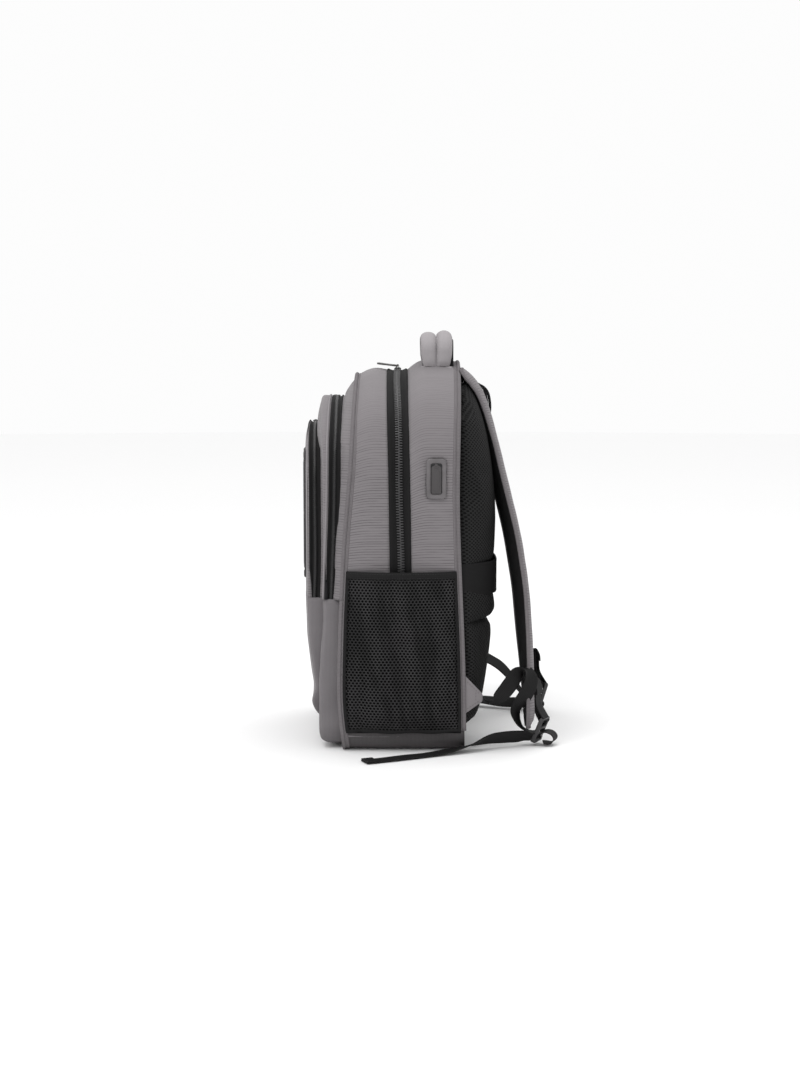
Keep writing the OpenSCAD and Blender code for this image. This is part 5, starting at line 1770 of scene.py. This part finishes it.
BOW_STEP = 9  # distance between two cuts in a piece that is laid on the bowed face


def bowed(piece):
    """Cuts a flat piece across its width and lays it on the front pocket's bowed face."""
    with editing(piece.data) as bm:
        for x in np.arange(-POCKET_W / 2, POCKET_W / 2, BOW_STEP):
            bmesh.ops.bisect_plane(bm, geom=bm.verts[:] + bm.edges[:] + bm.faces[:], plane_co=(x * MM, 0, 0),
                                   plane_no=(1, 0, 0))
        for v in bm.verts:
            v.co.y += front_bow(v.co.x / MM) * MM
    return piece


def panel_border():
    cloth = plate("cloth", [round_rect(PANEL_W, PANEL_H, 8, 10)], 1.4, 0.5, "panel_cloth", on_front(0.75))
    hem = plate("hem", [round_rect(PANEL_W, PANEL_H, 8, 10), round_rect(PANEL_W - 5, PANEL_H - 5, 6, 10)], 0.9, 0.4,
                "panel_cloth", on_front(1.5))
    seam = stitches("seam", ring_path(round_rect(PANEL_W - 7, PANEL_H - 7, 5.5, 10), on_front(1.5)), (0, -1, 0),
                    "black_thread", 3.4)
    return join("solar_border_cloth", [cloth, hem, seam])


def panel_cells():
    """Cells with their corners cut, as sawn from a round wafer."""
    a, b = CELL_W / 2, CELL_H / 2
    top = [(a - CELL_CUT, b), (-a + CELL_CUT, b), (-a, b - CELL_CUT), (-a, -b + CELL_CUT)]
    outline = top + [(-x, -z) for x, z in top]
    cells = []
    for column in range(COLUMNS):
        for row in range(ROWS):
            x = (column - (COLUMNS - 1) / 2) * (CELL_W + CELL_GAP)
            z = PANEL_MIDDLE + (row - (ROWS - 1) / 2) * (CELL_H + CELL_GAP)
            cells.append(plate("cell", [outline], 0.25, 0.06, "silicon", on_front(2.47, x, z)))
    return join("solar_cell_wafers", cells)


def rings(name, profile, count, material, middle=(0, 0, 0)):
    """A turned surface about the Z axis from (radius, height) pairs."""
    P = [[(x, y, h) for x, y in circle(r, count)] for r, h in profile]
    U = np.zeros((len(P), count + 1))
    return grid(name, P, U, U, material, closed=True, middle=middle)


def snaps():
    """Press studs at the corners of the border and half way up its sides."""
    dome = [(4.0, -0.5), (4.0, 0.2), (3.6, 0.55), (2.9, 0.62), (2.5, 0.4), (2.3, 0.45), (1.6, 0.6), (0.8, 0.66),
            (0.02, 0.67)]
    reach_x, reach_z = (PANEL_W - BORDER) / 2, (PANEL_H - BORDER) / 2
    return join("solar_snap_caps", [moved(rings("cap", dome, 24, "metal"),
                                          on_front(1.95, sx * reach_x, PANEL_MIDDLE + sz * reach_z))
                                    for sx in (-1, 1) for sz in (-1, 0, 1)])


fit(bowed(panel_border()), "front_flap", "solar_fabric", "solar_border")
sheet = plate("solar_laminate_sheet", [round_rect(LAMINATE_W, LAMINATE_H, 5, 8)], 0.9, 0.3, "resin", on_front(1.9))
fit(bowed(sheet), "front_flap", "solar_resin", "solar_laminate")
fit(bowed(panel_cells()), "front_flap", "solar_silicon", "solar_cells")
fit(bowed(snaps()), "front_flap", "zip_metal", "solar_snaps")

# ---------- stitching ----------

TAB_FACE = TAB_X + TAB_T / 2


def tab_stitches(name):
    """Box stitch on the tab that holds the lower webbing."""
    rows = []
    for (y0, z0), (y1, z1) in (((80, 86), (95.5, 70.5)), ((80, 52), (95.5, 62.5)), ((91, 73), (91, 61))):
        line = [(TAB_FACE, y, z) for y, z in zip(np.linspace(y0, y1, 20), np.linspace(z0, z1, 20))]
        rows.append(stitches("row", line, (1, 0, 0)))
    return join(name, rows)


def elastic_stitches(name):
    """Two rows of stitches along the elastic at the mouth of a mesh pocket."""
    ys = np.linspace(MESH_Y[0] + 4, MESH_Y[1] - 4, 120)
    rows = []
    for down in (2.4, BAND_H - 1.6):
        z = MOUTH_Z - down + 0 * ys
        line = np.column_stack([net_place(ys, z) + 1.5, pocket_y(ys, z), z])
        rows.append(stitches("row", line, (1, 0, 0), "black_thread", 3.0, 2.1))
    return join(name, rows)


def patch_stitches():
    """Stitches across both ends of the handle."""
    rows = []
    for side in (1, -1):
        for dx in (-8.5, 8.5):
            x = side * HANDLE_X + dx
            z = whole_edge.ends(0, x)[1] + 2.0
            line = [(x, y, z) for y in np.linspace(HANDLE_Y - 15, HANDLE_Y + 15, 20)]
            rows.append(stitches("row", line, (0, 0, 1)))
    return join("handle_stitches", rows)


for piece in both(tab_stitches("tab_stitches_right"), "tab_stitches_left").values():
    fit(piece, "pack", "grey_binding")
for side, piece in both(elastic_stitches("mouth_stitches_right"), "mouth_stitches_left").items():
    fit(piece, "mesh_pocket_" + side, "black_stretch_mesh")
fit(patch_stitches(), "pack", "grey_binding")

# ---------- floor ----------

FLOOR_Z = -0.4


def floor_material():
    """Pale paper sweep that grows a little lighter away from the bag: painted shade near the bag, where the lamps
    light the floor most.
    """
    g = Graph("floor", Roughness=0.95, Specular_IOR_Level=0.1)
    spot = g.add("TexCoord", out=3)
    far = g.add("VectorMath", spot, out=1, operation="LENGTH")
    return g.finish(g.mix(g.step(far, 0.5, 5.0), (0.88, 0.88, 0.88, 1), (0.97, 0.97, 0.97, 1)))


MAT["floor"] = floor_material()
rings("floor", [(r, FLOOR_Z) for r in (1, 300, 1200, 4000, 9000)], 96, "floor", (0, 0, -900))
